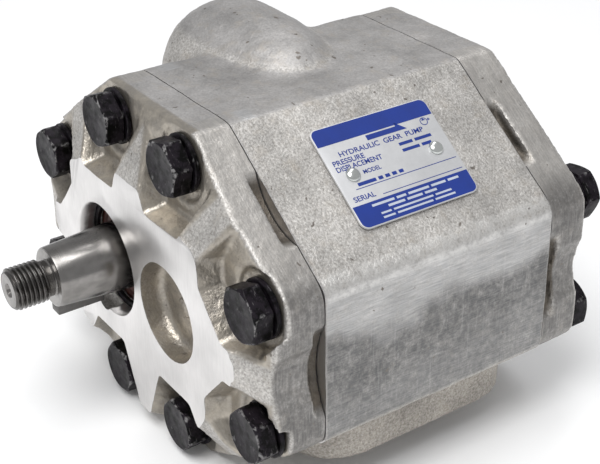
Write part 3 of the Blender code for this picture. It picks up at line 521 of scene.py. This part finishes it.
def cast_blank(node, planes, voxel, softening):
    """A CAD casting with soft edges, a sandy skin and stock left on its machined planes."""
    thing = merged_copy(node, node + "_casting")
    pushed_out(thing, planes)
    modified(thing, "REMESH", mode="VOXEL", voxel_size=voxel * MM)
    settle(thing)
    sharp = vertex_array(thing.data, "co")
    soften(thing, softening, 1.0 - slot_share(thing.data))
    soften(thing, 60, dome_base_share(thing.data))
    settle(thing)
    soft = vertex_array(thing.data, "co")
    lost = ((sharp - soft) * vertex_array(thing.data, "normal")).sum(axis=1) / MM
    store(thing.data, "edge", np.maximum((lost - 0.34) / 0.8, flash_share(thing.data)))
    # Painted shade for the pry slots.
    store(thing.data, "dirt_and_painted_shade", slot_painted_shade(thing.data))
    store(thing.data, "sanded", sanded_share(thing.data))
    store(thing.data, "pocket", pocket_share(thing.data))
    store(thing.data, "grainy", grainy_share(thing.data))
    roughened(thing, 9.0, 0.5)
    roughened(thing, 1.6, 0.22)
    return settle(thing)


def soften(thing, steps, weights):
    """Smooths a mesh, more where the weights are higher."""
    group = thing.vertex_groups.new(name=f"soft_{steps}")
    for level in np.unique(np.round(weights, 1)):
        chosen = np.flatnonzero(np.round(weights, 1) == level)
        group.add(chosen.tolist(), float(level), "REPLACE")
    modified(thing, "SMOOTH", factor=0.5, iterations=steps, vertex_group=group.name)


def rim_depth(place):
    """How far each point lies inside the octagon's upper slopes and vertical sides."""
    across = np.abs(place[:, 0])
    slope = SLOPE_OUT.dot(SLOPE_TOP) - (across * SLOPE_OUT.x + place[:, 2] * SLOPE_OUT.z)
    return np.minimum(slope, REAR_HIGH.x - across)


def slot_share(mesh):
    """The insides of the pry slots at the two joints."""
    place = vertex_array(mesh, "co") / MM
    across = np.abs(place[:, 0])
    spot = SLOPE_TOP + SLOPE_DOWN * 29.3 + SLOPE_OUT * 15.5
    on_side = np.hypot(across - REAR_HIGH.x - 25.4, place[:, 2]) < 30.7
    on_slope = np.hypot(across - spot.x, place[:, 2] - spot.z) < 20.7
    at_front = (place[:, 1] > SLOT_FRONT_Y - 0.6) & (place[:, 1] < COVER_HIGH.y + 0.2)
    at_rear = (place[:, 1] > REAR_LOW.y - 0.2) & (place[:, 1] < SLOT_REAR_Y + 0.6)
    return ((at_front | at_rear) & (on_side | on_slope)).astype(float)


def slot_painted_shade(mesh):
    """Painted shade: darker towards the bottom of the pry slots."""
    return slot_share(mesh) * np.clip((rim_depth(vertex_array(mesh, "co") / MM) - 0.5) / 1.6, 0.0, 0.9)


def is_cover(place):
    """Whether points are a cover's, which is much shorter than the body along Y."""
    return place[:, 1].max() - place[:, 1].min() < 50.0


def dome_base_share(mesh):
    """A ring round the foot of the dome, where it flows into the top face."""
    place = vertex_array(mesh, "co") / MM
    if is_cover(place):
        return np.zeros(len(place))
    near = np.clip((32.0 - np.abs(place[:, 1] - INLET_Y)) / 6.0, 0.0, 1.0)
    low = np.clip((66.0 - place[:, 2]) / 4.0, 0.0, 1.0) * np.clip((place[:, 2] - 45.0) / 6.0, 0.0, 1.0)
    return near * low * (place[:, 0] < 18.0) * (place[:, 0] > -46.0)


def flash_share(mesh):
    """The bright, dressed flash along the body's upper side edges."""
    place = vertex_array(mesh, "co") / MM
    if is_cover(place):
        return np.zeros(len(place))
    away = np.hypot(np.abs(place[:, 0]) - REAR_HIGH.x + 0.6, place[:, 2] - 26.0)
    return np.clip((4.6 - away) / 1.6, 0.0, 1.0)


def sanded_share(mesh):
    """How far each point lies on the belt-sanded rim: the vertical sides, and the covers' sloping ones."""
    normal = vertex_array(mesh, "normal")
    place = vertex_array(mesh, "co") / MM
    side = np.clip((np.abs(normal[:, 0]) - 0.9) / 0.08, 0.0, 1.0) * (np.abs(place[:, 0]) > 55.0)
    cover = (place[:, 1] < COVER_HIGH.y) | (place[:, 1] > REAR_LOW.y)
    rim = cover * np.clip((0.25 - np.abs(normal[:, 1])) / 0.15, 0.0, 1.0)
    outer = np.hypot(place[:, 0], place[:, 2]) > 52.0
    scuff = np.clip(1.6 - np.abs(place[:, 1] - 28.5) / 2.4, 0.0, 1.0)
    scuff *= (normal[:, 2] > 0.9) * (place[:, 2] > 57.0)
    return np.maximum(np.maximum(side, rim * outer * 0.85), scuff) * (rim_depth(place) < 3.4)


def grainy_share(mesh):
    """Grainy sand skin everywhere but on the top face and its dome, which came smooth from the mould."""
    up = vertex_array(mesh, "normal")[:, 2]
    place = vertex_array(mesh, "co") / MM
    top = np.clip((up - 0.88) / 0.08, 0.0, 1.0) * (place[:, 2] > 50.0)
    dome = np.clip((place[:, 2] - 59.5) / 2.0, 0.0, 1.0)
    return 1.0 - np.maximum(top, dome)


def within(outline, across, up):
    """How far points lie inside a convex outline given anticlockwise, negative outside it."""
    depth = np.full(len(across), 99.0)
    for (x0, z0), (x1, z1) in zip(outline, outline[1:] + outline[:1]):
        length = math.hypot(x1 - x0, z1 - z0)
        depth = np.minimum(depth, ((x1 - x0) * (up - z0) - (z1 - z0) * (across - x0)) / length)
    return depth


def pocket_share(mesh):
    """The pockets round the front bolts and the blind recess, where the skin is smooth and brown."""
    place = vertex_array(mesh, "co") / MM
    across, up = np.abs(place[:, 0]), place[:, 2]
    depth = within(SIDE_POCKET, across, np.abs(up))
    depth = np.maximum(depth, within(TOP_POCKET, across, up))
    depth = np.maximum(depth, within(LOW_POCKET, across, -up))
    depth = np.maximum(depth, 17.0 - np.hypot(place[:, 0] - DRIVEN_X, up))
    return np.clip(depth / 0.9 + 0.3, 0.0, 1.0) * (place[:, 1] < 12.0) * (rim_depth(place) > 0.8)


def machine(thing, *meshes):
    """Cuts meshes out of a casting. The faces they leave take the second material."""
    set_materials(thing.data, (COVER_CAST, MILLED))
    for i, mesh in enumerate(meshes):
        mesh.polygons.foreach_set("material_index", [1] * len(mesh.polygons))
        set_materials(mesh, (COVER_CAST, MILLED))
        cutter = new_object(f"cutter_{i}", mesh)
        modified(thing, "BOOLEAN", operation="DIFFERENCE", solver="MANIFOLD", object=cutter)
        settle(thing)
        bpy.data.objects.remove(cutter)
    return thing


def slab(start, end):
    """A block wider than the pump, between two stations along Y."""
    facing = Matrix.Rotation(math.radians(90.0), 4, "X")
    square = [(-120, -120), (120, -120), (120, 120), (-120, 120)]
    return prism_mesh("slab", square, -end, -start, facing)


def port_mesh(name, profile, to_axis, place):
    """A port's cutter, turned about Y and then laid along another axis."""
    mesh = lathe_mesh(name, profile, 0.0, 0.0, 72)
    mesh.transform(Matrix.Translation(Vector(place) * MM) @ to_axis)
    return mesh


def shaft_bore():
    groove_r = 19.9
    profile = [
        (0.0, -3.0), (SHAFT_BORE_R + 0.6, -3.0), (SHAFT_BORE_R + 0.6, 0.0), (SHAFT_BORE_R, 0.6),
        (SHAFT_BORE_R, 5.6), (groove_r, 5.6), (groove_r, 7.4), (SHAFT_BORE_R, 7.4),
        (SHAFT_BORE_R, 14.0), (SHAFT_HOLE_R + 0.8, 14.0), (SHAFT_HOLE_R, 14.8), (SHAFT_HOLE_R, 24.0),
        (0.0, 24.0),
    ]
    return lathe_mesh("shaft_bore", profile, DRIVE_X, 0.0, 128)


def chamber_bore(x):
    start, end = COVER_HIGH.y - 2, REAR_LOW.y + 2
    profile = [(0.0, start), (CHAMBER_R, start), (CHAMBER_R, end), (0.0, end)]
    return lathe_mesh("chamber", profile, x, 0.0, 96)


def port_profile(radius, depth):
    """A port's cutter from the open end inwards, with a lead-in chamfer and thread-like rings."""
    points = [(0.0, -2.0), (radius + 1.2, -2.0), (radius + 1.2, 0.0), (radius, 1.2)]
    for i in range(int((depth - 4.0) / 2.0)):
        y = 1.2 + 2.0 * i
        points += [(radius, y + 0.3), (radius + 0.7, y + 1.0), (radius, y + 1.7)]
    return points + [(radius, depth), (0.0, depth)]


def make_front_cover():
    planes = [(FRONT_Y, -2.5), (COVER_HIGH.y, 2.5)]
    cover = cast_blank("front_cover", planes, 0.75, 6)
    machine(cover, slab(FRONT_Y - 15, FRONT_Y), slab(COVER_HIGH.y, COVER_HIGH.y + 15), shaft_bore())
    finished(cover, "housing", "cast_aluminium", COVER_CAST, MILLED, replaces=["front_cover"], sharp=50)


def make_recess_mark():
    """The small round witness mark on the floor of the blind recess."""
    floor = FRONT_Y + 8.0
    profile = [
        (0.0, floor - 0.55), (1.3, floor - 0.6), (1.9, floor - 0.35), (2.6, floor - 0.5),
        (3.3, floor - 0.2), (3.5, floor + 0.6), (0.0, floor + 0.6),
    ]
    mark = new_object("recess_mark", lathe_mesh("recess_mark", profile, 17.3, -2.3, 48))
    store(mark.data, "pocket", np.ones(len(mark.data.vertices)))
    finished(mark, "housing", "cast_aluminium", COVER_CAST, sharp=60)


def make_body():
    start, end = BODY_LOW.y, BODY_HIGH.y
    body = cast_blank("pump_body", [(start, -2.5), (end, 2.5)], 0.85, 9)
    sideways = Matrix.Rotation(math.radians(-90.0), 4, "Z")
    upwards = Matrix.Rotation(math.radians(90.0), 4, "X")
    inlet = port_mesh("inlet", port_profile(INLET_R, 26.0), sideways, (-48.0, INLET_Y, INLET_Z))
    outlet = port_mesh("outlet", port_profile(OUTLET_R, 24.0), upwards, (0.0, OUTLET_Y, REAR_LOW.z + 0.6))
    bores = chamber_bore(DRIVE_X), chamber_bore(DRIVEN_X)
    machine(body, slab(start - 15, start), slab(end, end + 15), *bores, inlet, outlet)
    finished(body, "housing", "cast_aluminium", BODY_CAST, MILLED, replaces=["pump_body"], sharp=50)


def make_rear_cover():
    cover = cast_blank("rear_cover", [(REAR_LOW.y, -2.5)], 0.8, 9)
    machine(cover, slab(REAR_LOW.y - 15, REAR_LOW.y))
    finished(cover, "housing", "cast_aluminium", COVER_CAST, MILLED, replaces=["rear_cover"], sharp=50)


# ---------------------------------------------------------------- bolts and washers

def bolt_facts(node, rear):
    """Where a CAD bolt's axis is, where its head sits and how its hexagon is turned."""
    place = vertex_array(NODES[node].data, "co") / MM
    tip = place[:, 1] < place[:, 1].min() + 0.5 if rear else place[:, 1] > place[:, 1].max() - 0.5
    x, _, z = place[tip].mean(axis=0)
    top = place[:, 1] > place[:, 1].max() - 0.5 if rear else place[:, 1] < place[:, 1].min() + 0.5
    corner = place[top][0]
    turn = math.atan2(corner[2] - z, corner[0] - x)
    seat = place[:, 1].max() - HEAD_HEIGHT if rear else place[:, 1].min() + HEAD_HEIGHT
    return {"node": node, "x": x, "z": z, "turn": turn, "seat": seat, "rear": rear}


FRONT_BOLTS = [bolt_facts(f"front_bolt_{i}", False) for i in range(1, 9)]
REAR_BOLTS = [bolt_facts(f"rear_bolt_{i}", True) for i in range(1, 9)]


def head_mesh(name, turn):
    """A hexagon head with its corners chamfered by a cone, on a round washer face, up local -Y."""
    steps = 60
    flat_r = FLATS_R - 0.15
    points, worn = [(0.0, -HEAD_HEIGHT + 0.15, 0.0)], [0.0]
    for i in range(steps):
        a = 2 * math.pi * i / steps
        hexagon = FLATS_R / math.cos(a % (math.pi / 3) - math.pi / 6)
        hexagon = min(hexagon, FLATS_R / math.cos(math.pi / 6) - 0.12)
        drop = max(hexagon - flat_r, 0.0) * 0.55 + 0.12 - HEAD_HEIGHT
        rim = min(flat_r, hexagon - 0.15)
        rows = [(rim * 0.97, 0.06 - HEAD_HEIGHT), (rim, -HEAD_HEIGHT), (hexagon, drop), (hexagon, drop + 0.3),
                (hexagon, -0.45), (FLATS_R - 0.3, -0.3), (FLATS_R - 0.4, 0.0)]
        points += [(r * math.cos(a + turn), y, r * math.sin(a + turn)) for r, y in rows]
        corner = 0.8 if i % 10 == 0 else 0.0
        worn += [0.0, 1.0, 1.0, corner, corner, 0.0, 0.0]
    points.append((0.0, 0.0, 0.0))
    faces, last = [], len(points) - 1
    for i in range(steps):
        here, there = 1 + 7 * i, 1 + 7 * ((i + 1) % steps)
        faces.append((0, here, there))
        faces += [(here + k, here + k + 1, there + k + 1, there + k) for k in range(6)]
        faces.append((here + 6, last, there + 6))
    mesh = mesh_of(name, points, faces)
    store(mesh, "edge", np.array(worn + [0.0]))
    return mesh


def make_bolt(facts):
    name = facts["node"] + "_detailed"
    bolt = new_object(name, head_mesh(name, facts["turn"]))
    modified(bolt, "BEVEL", width=0.22 * MM, segments=2, limit_method="ANGLE", angle_limit=math.radians(24.0))
    settle(bolt)
    low, high = (corner.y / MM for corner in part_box(facts["node"]))
    reach = high - low - HEAD_HEIGHT
    round_r = BOLT_R - 0.1
    profile = [(0.0, -1.0), (round_r, -1.0), (round_r, reach - 1.0), (BOLT_R - 1.0, reach), (0.0, reach)]
    shank = lathe_mesh(name, profile, 0.0, 0.0, 24)
    facing = Matrix.Rotation(math.pi if facts["rear"] else 0.0, 4, "X")
    place = Matrix.Translation(Vector((facts["x"], facts["seat"], facts["z"])) * MM) @ facing
    shape = bmesh.new()
    shape.from_mesh(bolt.data)
    shape.from_mesh(shank)
    bmesh.ops.transform(shape, matrix=place, verts=shape.verts)
    shape.to_mesh(bolt.data)
    shape.free()
    finished(bolt, "housing", "black_steel", BLACK, replaces=[facts["node"]], sharp=28)


def make_washer(facts):
    """A split spring washer: a square section wound once, with a step at the split."""
    node = facts["node"].replace("bolt", "washer")
    low, high = (corner.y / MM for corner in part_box(node))
    steps, inner, lift = 64, BOLT_R + 0.5, 0.35
    thick = high - low - lift
    bevel = 0.25
    section = [
        (inner, 0.0), (WASHER_R - bevel, 0.0), (WASHER_R, bevel),
        (WASHER_R, thick - bevel), (WASHER_R - bevel, thick), (inner, thick),
    ]
    rows = len(section)
    points = []
    for i in range(steps + 1):
        share = i / steps
        a = 0.06 + (2 * math.pi - 0.12) * share + facts["turn"] * 3
        for r, y in section:
            x, z = facts["x"] + r * math.cos(a), facts["z"] + r * math.sin(a)
            points.append((x, low + y + lift * share, z))
    faces = [tuple(range(rows)), tuple(range(steps * rows, (steps + 1) * rows))]
    for i in range(steps):
        here, there = i * rows, (i + 1) * rows
        faces += [(here + k, here + (k + 1) % rows, there + (k + 1) % rows, there + k) for k in range(rows)]
    washer = new_object(node + "_detailed", mesh_of(node, points, faces))
    finished(washer, "housing", "black_steel", BLACK, replaces=[node], sharp=28)


# ---------------------------------------------------------------- drive shaft, seal and circlip

def thread_mesh(name, start, end, steps=96, rows_a_turn=10):
    """The threaded end between two stations along Y, with its crests fading out at both."""
    rows = int((start - end) / THREAD_PITCH * rows_a_turn)
    points = []
    for k in range(rows + 1):
        y = start + (end - start) * k / rows
        fade = min(1.0, (start - y) / 0.8)
        lead_in = THREAD_ROOT_R - 0.25 + (y - end) * 1.1
        for i in range(steps):
            turn = i / steps
            phase = ((start - y) / THREAD_PITCH - turn) % 1.0
            height = min(1.0, max(0.0, 1.35 - abs(phase - 0.5) * 3.1))
            r = THREAD_ROOT_R + (THREAD_CREST_R - THREAD_ROOT_R) * height * fade
            r = min(r, lead_in)
            a = 2 * math.pi * turn
            points.append((DRIVE_X + r * math.cos(a), y, r * math.sin(a)))
    faces = []
    for k in range(rows):
        for i in range(steps):
            j = (i + 1) % steps
            faces.append((k * steps + i, k * steps + j, (k + 1) * steps + j, (k + 1) * steps + i))
    return mesh_of(name, points, faces)


def make_shaft_nose():
    """The part of the drive shaft in front of its seal: taper, thread relief, thread and centre hole."""
    start = TAPER_END_Y - 2.2
    end = SHAFT_LOW.y
    taper = [
        (0.0, 16.0), (SEAL_LAND_R, 16.0), (SEAL_LAND_R, 7.2),
        (TAPER_SMALL_R + 0.03, TAPER_END_Y + 0.7), (TAPER_SMALL_R - 0.2, TAPER_END_Y + 0.2),
        (TAPER_SMALL_R - 0.6, TAPER_END_Y), (6.4, TAPER_END_Y), (5.95, TAPER_END_Y - 0.4),
        (5.95, start + 0.3), (THREAD_ROOT_R, start), (0.0, start),
    ]
    tip = [
        (0.0, end + 6.0), (THREAD_ROOT_R - 0.3, end + 6.0),
        (THREAD_ROOT_R - 0.3, end + 0.1), (THREAD_ROOT_R - 0.45, end),
        (2.6, end), (2.3, end + 0.15), (1.3, end + 1.7), (1.3, end + 4.5), (0.0, end + 5.2),
    ]
    nose = new_object("drive_shaft_nose", lathe_mesh("nose", taper, DRIVE_X, 0.0, 144))
    shape = bmesh.new()
    shape.from_mesh(nose.data)
    shape.from_mesh(lathe_mesh("tip", tip, DRIVE_X, 0.0, 96))
    shape.to_mesh(nose.data)
    shape.free()
    modified(nose, "BOOLEAN", operation="DIFFERENCE", solver="EXACT", object=key_seat())
    settle(nose)
    bpy.data.objects.remove(bpy.data.objects["key_seat"])
    finished(nose, "drive_gear", "ground_steel", GROUND, replaces=["drive_gear_shaft"], sharp=26)
    thread = new_object("drive_shaft_thread", thread_mesh("thread", start, end))
    finished(thread, "drive_gear", "ground_steel", THREADED, sharp=60)


def key_seat():
    """The slot for the Woodruff key, a little wider than the key."""
    low, high = (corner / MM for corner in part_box("woodruff_key"))
    middle = (low.y + high.y) / 2
    seat_r = KEY_R + KEY_ROOM
    outline = arc((middle, high.z - KEY_R), seat_r, 0.0, math.pi, 40)
    outline += [(middle - seat_r, -14.0), (middle + seat_r, -14.0)]
    across = Matrix(((0, 0, 1, 0), (1, 0, 0, 0), (0, 1, 0, 0), (0, 0, 0, 1)))
    return new_object("key_seat", prism_mesh("key_seat", outline, low.x - 0.12, high.x + 0.12, across))


def make_shaft_rear():
    """The drive shaft behind its seal, copied from the frame: journals and gear."""
    rear = merged_copy("drive_gear_shaft", "drive_shaft_gear")
    front_cut = new_object("front_cut", slab(-80.0, 15.8))
    modified(rear, "BOOLEAN", operation="DIFFERENCE", solver="EXACT", object=front_cut)
    settle(rear)
    bpy.data.objects.remove(front_cut)
    finished(rear, "drive_gear", "ground_steel", GROUND)


def make_key():
    key = merged_copy("woodruff_key", "woodruff_key_detailed")
    modified(key, "DECIMATE", decimate_type="DISSOLVE", angle_limit=math.radians(2.0))
    modified(key, "BEVEL", width=0.25 * MM, segments=2, limit_method="ANGLE", angle_limit=math.radians(40.0))
    settle(key)
    finished(key, "drive_gear", "ground_steel", KEY_STEEL, replaces=["woodruff_key"])


def make_seal():
    """A lip seal: outer case, garter-spring bulge and lip on the shaft."""
    front, back = SEAL_LOW.y, SEAL_HIGH.y
    outer = SHAFT_BORE_R - 0.25
    profile = [
        (outer - 0.4, front), (outer, front + 0.4), (outer, back), (15.4, back), (15.4, front + 1.9),
        (14.6, front + 1.9), (13.5, back - 0.7), (SEAL_LAND_R + 0.35, front + 2.6),
        (SEAL_LAND_R + 0.25, front + 2.2), (SEAL_LAND_R + 0.7, front + 1.1), (12.6, front + 0.8),
        (13.4, front + 1.0), (14.2, front + 0.4), (15.0, front + 0.2), (15.6, front + 0.9),
        (16.3, front + 0.9), (16.8, front),
    ]
    seal = new_object("shaft_seal_detailed", lathe_mesh("seal", profile, DRIVE_X, 0.0, 96))
    finished(seal, "housing", "seal_rubber", LIP_RUBBER, replaces=["shaft_seal"], sharp=40)


# ---------------------------------------------------------------- nameplate

PLATE_MIDDLE = (sum(PLATE_UP) / 2, sum(PLATE_Y) / 2)
PLATE_HALF = ((PLATE_Y[1] - PLATE_Y[0]) / 2, (PLATE_UP[1] - PLATE_UP[0]) / 2)
PLATE_TOP = PLATE_BASE + PLATE_THICKNESS


def on_plate(height=0.0):
    """The frame at the plate's lower left corner, on its printed side."""
    to_corner = Matrix.Translation((-PLATE_HALF[0], -PLATE_HALF[1], 0.0))
    return on_slope(*PLATE_MIDDLE, PLATE_TOP + height) @ to_corner


def print_piece(name, outline, finish, height=0.0):
    piece = new_object(name, prism_mesh(name, outline, -0.02, 0.04 + height, on_plate()))
    finished(piece, "housing", "nameplate", finish)


def lettering(name, text, left, right, base, finish):
    """One line of raised print, as wide as the space between left and right."""
    curve = bpy.data.curves.new(name, "FONT")
    curve.body = text
    curve.extrude = 0.02
    curve.offset = 0.014
    letters = new_object(name, curve)
    bpy.context.view_layer.update()
    mesh = bpy.data.meshes.new_from_object(letters)
    bpy.data.objects.remove(letters)
    size = (right - left) / vertex_array(mesh, "co")[:, 0].max()
    tall = Matrix.Diagonal((size, min(size, 2.35), 1.0, 1.0))
    mesh.transform(on_plate(0.02) @ Matrix.Translation((left, base, 0.0)) @ tall)
    mesh.transform(Matrix.Diagonal((MM, MM, MM, 1.0)))
    finished(new_object(name, mesh), "housing", "nameplate", finish)


def bar(left, right, base, height):
    return [(left, base), (right, base), (right, base + height), (left, base + height)]


def make_nameplate():
    width, height = PLATE_HALF[0] * 2, PLATE_HALF[1] * 2
    outline = rounded_box(*PLATE_HALF, PLATE_CORNER_R)
    sheet = prism_mesh("plate", outline, PLATE_BASE, PLATE_TOP, on_slope(*PLATE_MIDDLE, 0.0))
    plate = new_object("nameplate_metal", sheet)
    modified(plate, "BEVEL", width=0.18 * MM, segments=2, limit_method="ANGLE",
             angle_limit=math.radians(50.0))
    settle(plate)
    finished(plate, "housing", "nameplate", PLATE_METAL, replaces=["nameplate"])
    inset, corner = PRINT_INSET, PLATE_CORNER_R
    quarter = math.pi / 2
    top = height - 6.0
    band = [(inset, top), (width - inset, top)]
    band += arc((width - corner, height - corner), corner - inset, 0.0, quarter, 7)
    band += arc((corner, height - corner), corner - inset, quarter, 2 * quarter, 7)
    print_piece("print_band_top", band, PRINT_BLUE)
    band = [(width - inset, 7.6), (inset, 7.6)]
    band += arc((corner, corner), corner - inset, 2 * quarter, 3 * quarter, 7)
    band += arc((width - corner, corner), corner - inset, 3 * quarter, 4 * quarter, 7)
    print_piece("print_band_bottom", band, PRINT_BLUE)
    arrow = [(17.0, 26.2), (28.2, 26.2), (31.6, 26.2), (28.2, 29.3), (28.2, 27.9), (17.0, 27.9)]
    print_piece("print_arrow", arrow, PRINT_BLUE)
    print_symbol(38.4, 26.7, 1.35)
    lettering("print_title", "HYDRAULIC  GEAR  PUMP", 5.4, 36.6, 23.7, PRINT_BLUE)
    lettering("print_pressure", "PRESSURE", 1.9, 13.2, 21.3, PRINT_BLUE)
    lettering("print_displacement", "DISPLACEMENT", 1.9, 18.4, 19.2, PRINT_BLUE)
    lettering("print_model", "MODEL", 9.8, 16.2, 16.4, PRINT_BLUE)
    lettering("print_serial", "SERIAL", 2.0, 9.6, 8.8, PRINT_BLUE)
    print_piece("print_rule_1", bar(4.6, width - 1.2, 12.4, 0.22), PRINT_BLUE)
    print_piece("print_rule_2", bar(12.0, width - 1.2, 8.6, 0.22), PRINT_BLUE)
    dashes("print_value_1", 26.0, 21.4, 1.0, (5.0, 6.2), PRINT_BLUE)
    dashes("print_value_2", 26.0, 19.2, 1.0, (6.4, 3.6), PRINT_BLUE)
    dashes("print_value_3", 6.0, 13.2, 1.1, (6.5, 1.6, 1.6, 1.6, 1.6), PRINT_BLUE)
    dashes("print_line_1", 6.5, 5.9, 0.75, (8.0, 3.4, 7.6, 5.4, 4.0), PRINT_WHITE, 0.03)
    dashes("print_line_2", 11.5, 4.4, 0.75, (6.0, 5.6, 4.4), PRINT_WHITE, 0.03)
    dashes("print_line_3", 8.0, 2.9, 0.6, (3.6, 14.5, 6.0), PRINT_WHITE, 0.03)
    dashes("print_line_4", 8.0, 1.5, 0.6, (4.2, 13.0, 7.5), PRINT_WHITE, 0.03)


def dashes(name, left, base, height, words, finish, raised=0.0):
    """A line of plain dashes, one for each word that the real plate would carry."""
    for i, long in enumerate(words):
        print_piece(f"{name}_{i + 1}", bar(left, left + long, base, height), finish, raised)
        left += long + 0.9


def print_symbol(x, y, radius):
    """A hydraulic pump's circuit symbol: a ring with a filled triangle, and a small shaft ring."""
    rings = [("print_ring", (x, y), radius), ("print_ring_small", (x + radius + 0.55, y + 0.3), 0.42)]
    for name, spot, size in rings:
        outer = arc(spot, size, 0.0, 2 * math.pi, 33)
        inner = arc(spot, size - 0.24, 2 * math.pi, 0.0, 33)
        for half, (a, b) in enumerate(((0, 17), (16, 33))):
            print_piece(f"{name}_{half}", outer[a:b] + inner[33 - b:33 - a], PRINT_BLUE)
    print_piece("print_triangle", [(x - 0.7, y + 0.35), (x, y + 1.2), (x + 0.7, y + 0.35)], PRINT_BLUE)


def make_rivets():
    for i, y in enumerate(RIVETS_Y):
        node = f"nameplate_rivet_{i + 1}"
        base = PLATE_TOP + 0.05
        turns = [k * math.pi / 28 for k in range(15)]
        dome = [(2.35 * math.sin(a), base + 1.35 * math.cos(a)) for a in turns]
        profile = dome + [(2.2, base - 0.1), (1.2, base - 0.1), (1.2, -6.0), (0.0, -6.0)]
        mesh = lathe_mesh(node, profile, 0.0, 0.0, 48)
        mesh.transform(Matrix.Rotation(math.radians(90.0), 4, "X"))
        place = on_slope(PLATE_MIDDLE[0], y, 0.0)
        place.translation *= MM
        mesh.transform(place)
        rivet = new_object(node + "_detailed", mesh)
        finished(rivet, "housing", "bright_rivet", RIVET_METAL, replaces=[node], sharp=50)


# ---------------------------------------------------------------- what stays from the frame

def dress(node, finish):
    thing = NODES[node]
    if not thing.material_slots:
        raise ValueError(node + " has no material slot")
    for held in thing.material_slots:
        held.material = finish


def dress_nodes():
    dress("driven_gear_shaft", GROUND)
    dress("seal_circlip", BLACK)
    for side in ("front", "rear"):
        dress(f"{side}_bearing_block", ALLOY)
        dress(f"{side}_balance_seal", NITRILE)
        dress(f"{side}_body_seal", NITRILE)
        dress(f"{side}_drive_bush", BRONZE)
        dress(f"{side}_driven_bush", BRONZE)
        dress(f"{side}_dowel_1", GROUND)
        dress(f"{side}_dowel_2", GROUND)


# ---------------------------------------------------------------- stage, lights and camera

def make_floor():
    made, tree, shader = blank_material("studio_floor", 0.0, 0.9)
    clouds = noise(tree, place_of(tree), 2.0, 2.0, 0.5)
    tree.links.new(ramp(tree, clouds, (0.3, 0.965), (0.7, 0.975)), shader.inputs["Base Color"])
    reach = 6000.0
    level = REAR_LOW.z - 0.35
    corners = [(-reach, -reach, level), (reach, -reach, level), (reach, reach, level), (-reach, reach, level)]
    floor = new_object("floor", mesh_of("floor", corners, [(0, 1, 2, 3)]))
    floor.data.materials.append(made)


def make_light(name, place, target, size, power, colour=(1.0, 1.0, 1.0)):
    lamp = bpy.data.lights.new(name, "AREA")
    lamp.shape = "RECTANGLE"
    lamp.size, lamp.size_y = size
    lamp.energy = power
    lamp.color = colour
    holder = new_object(name, lamp)
    holder.location = place
    holder.rotation_euler = (Vector(target) - Vector(place)).to_track_quat("-Z", "Y").to_euler()


def make_lights():
    middle = (0.0, 0.06, 0.0)
    make_light("top_box", (0.25, -0.45, 1.2), middle, (0.8, 0.8), 13.5)
    make_light("back_strip", (-0.3, 0.5, 1.2), middle, (0.3, 1.0), 2.8)
    world = bpy.data.worlds.new("studio")
    bpy.context.scene.world = world
    world.use_nodes = True
    background = world.node_tree.nodes["Background"]
    background.inputs["Color"].default_value = (0.97, 0.98, 1.0, 1.0)
    background.inputs["Strength"].default_value = 0.5
    bpy.context.scene.view_settings.view_transform = "Standard"


def make_camera():
    azimuth, elevation, roll = (math.radians(a) for a in (56.079, 29.115, -0.911))
    target = Vector((0.014344, 0.053001, 0.008253))
    distance = 0.41830
    level = math.cos(elevation)
    forward = Vector((-math.sin(azimuth) * level, math.cos(azimuth) * level, -math.sin(elevation)))
    flat_right = Vector((math.cos(azimuth), math.sin(azimuth), 0.0))
    flat_up = flat_right.cross(forward)
    right = flat_right * math.cos(roll) + flat_up * math.sin(roll)
    up = flat_up * math.cos(roll) - flat_right * math.sin(roll)
    lens = bpy.data.cameras.new("camera")
    lens.sensor_width = 36.0
    lens.lens = 77.985
    lens.clip_start = 0.01
    camera = new_object("camera", lens)
    turn = Matrix((right, up, -forward)).transposed().to_4x4()
    camera.matrix_world = Matrix.Translation(target - forward * distance) @ turn
    bpy.context.scene.camera = camera


# ---------------------------------------------------------------- assembly

make_camera()
make_lights()
make_floor()
make_front_cover()
make_recess_mark()
make_body()
make_rear_cover()
for bolt in FRONT_BOLTS + REAR_BOLTS:
    make_bolt(bolt)
    make_washer(bolt)
make_shaft_nose()
make_shaft_rear()
make_key()
make_seal()
make_nameplate()
make_rivets()
dress_nodes()
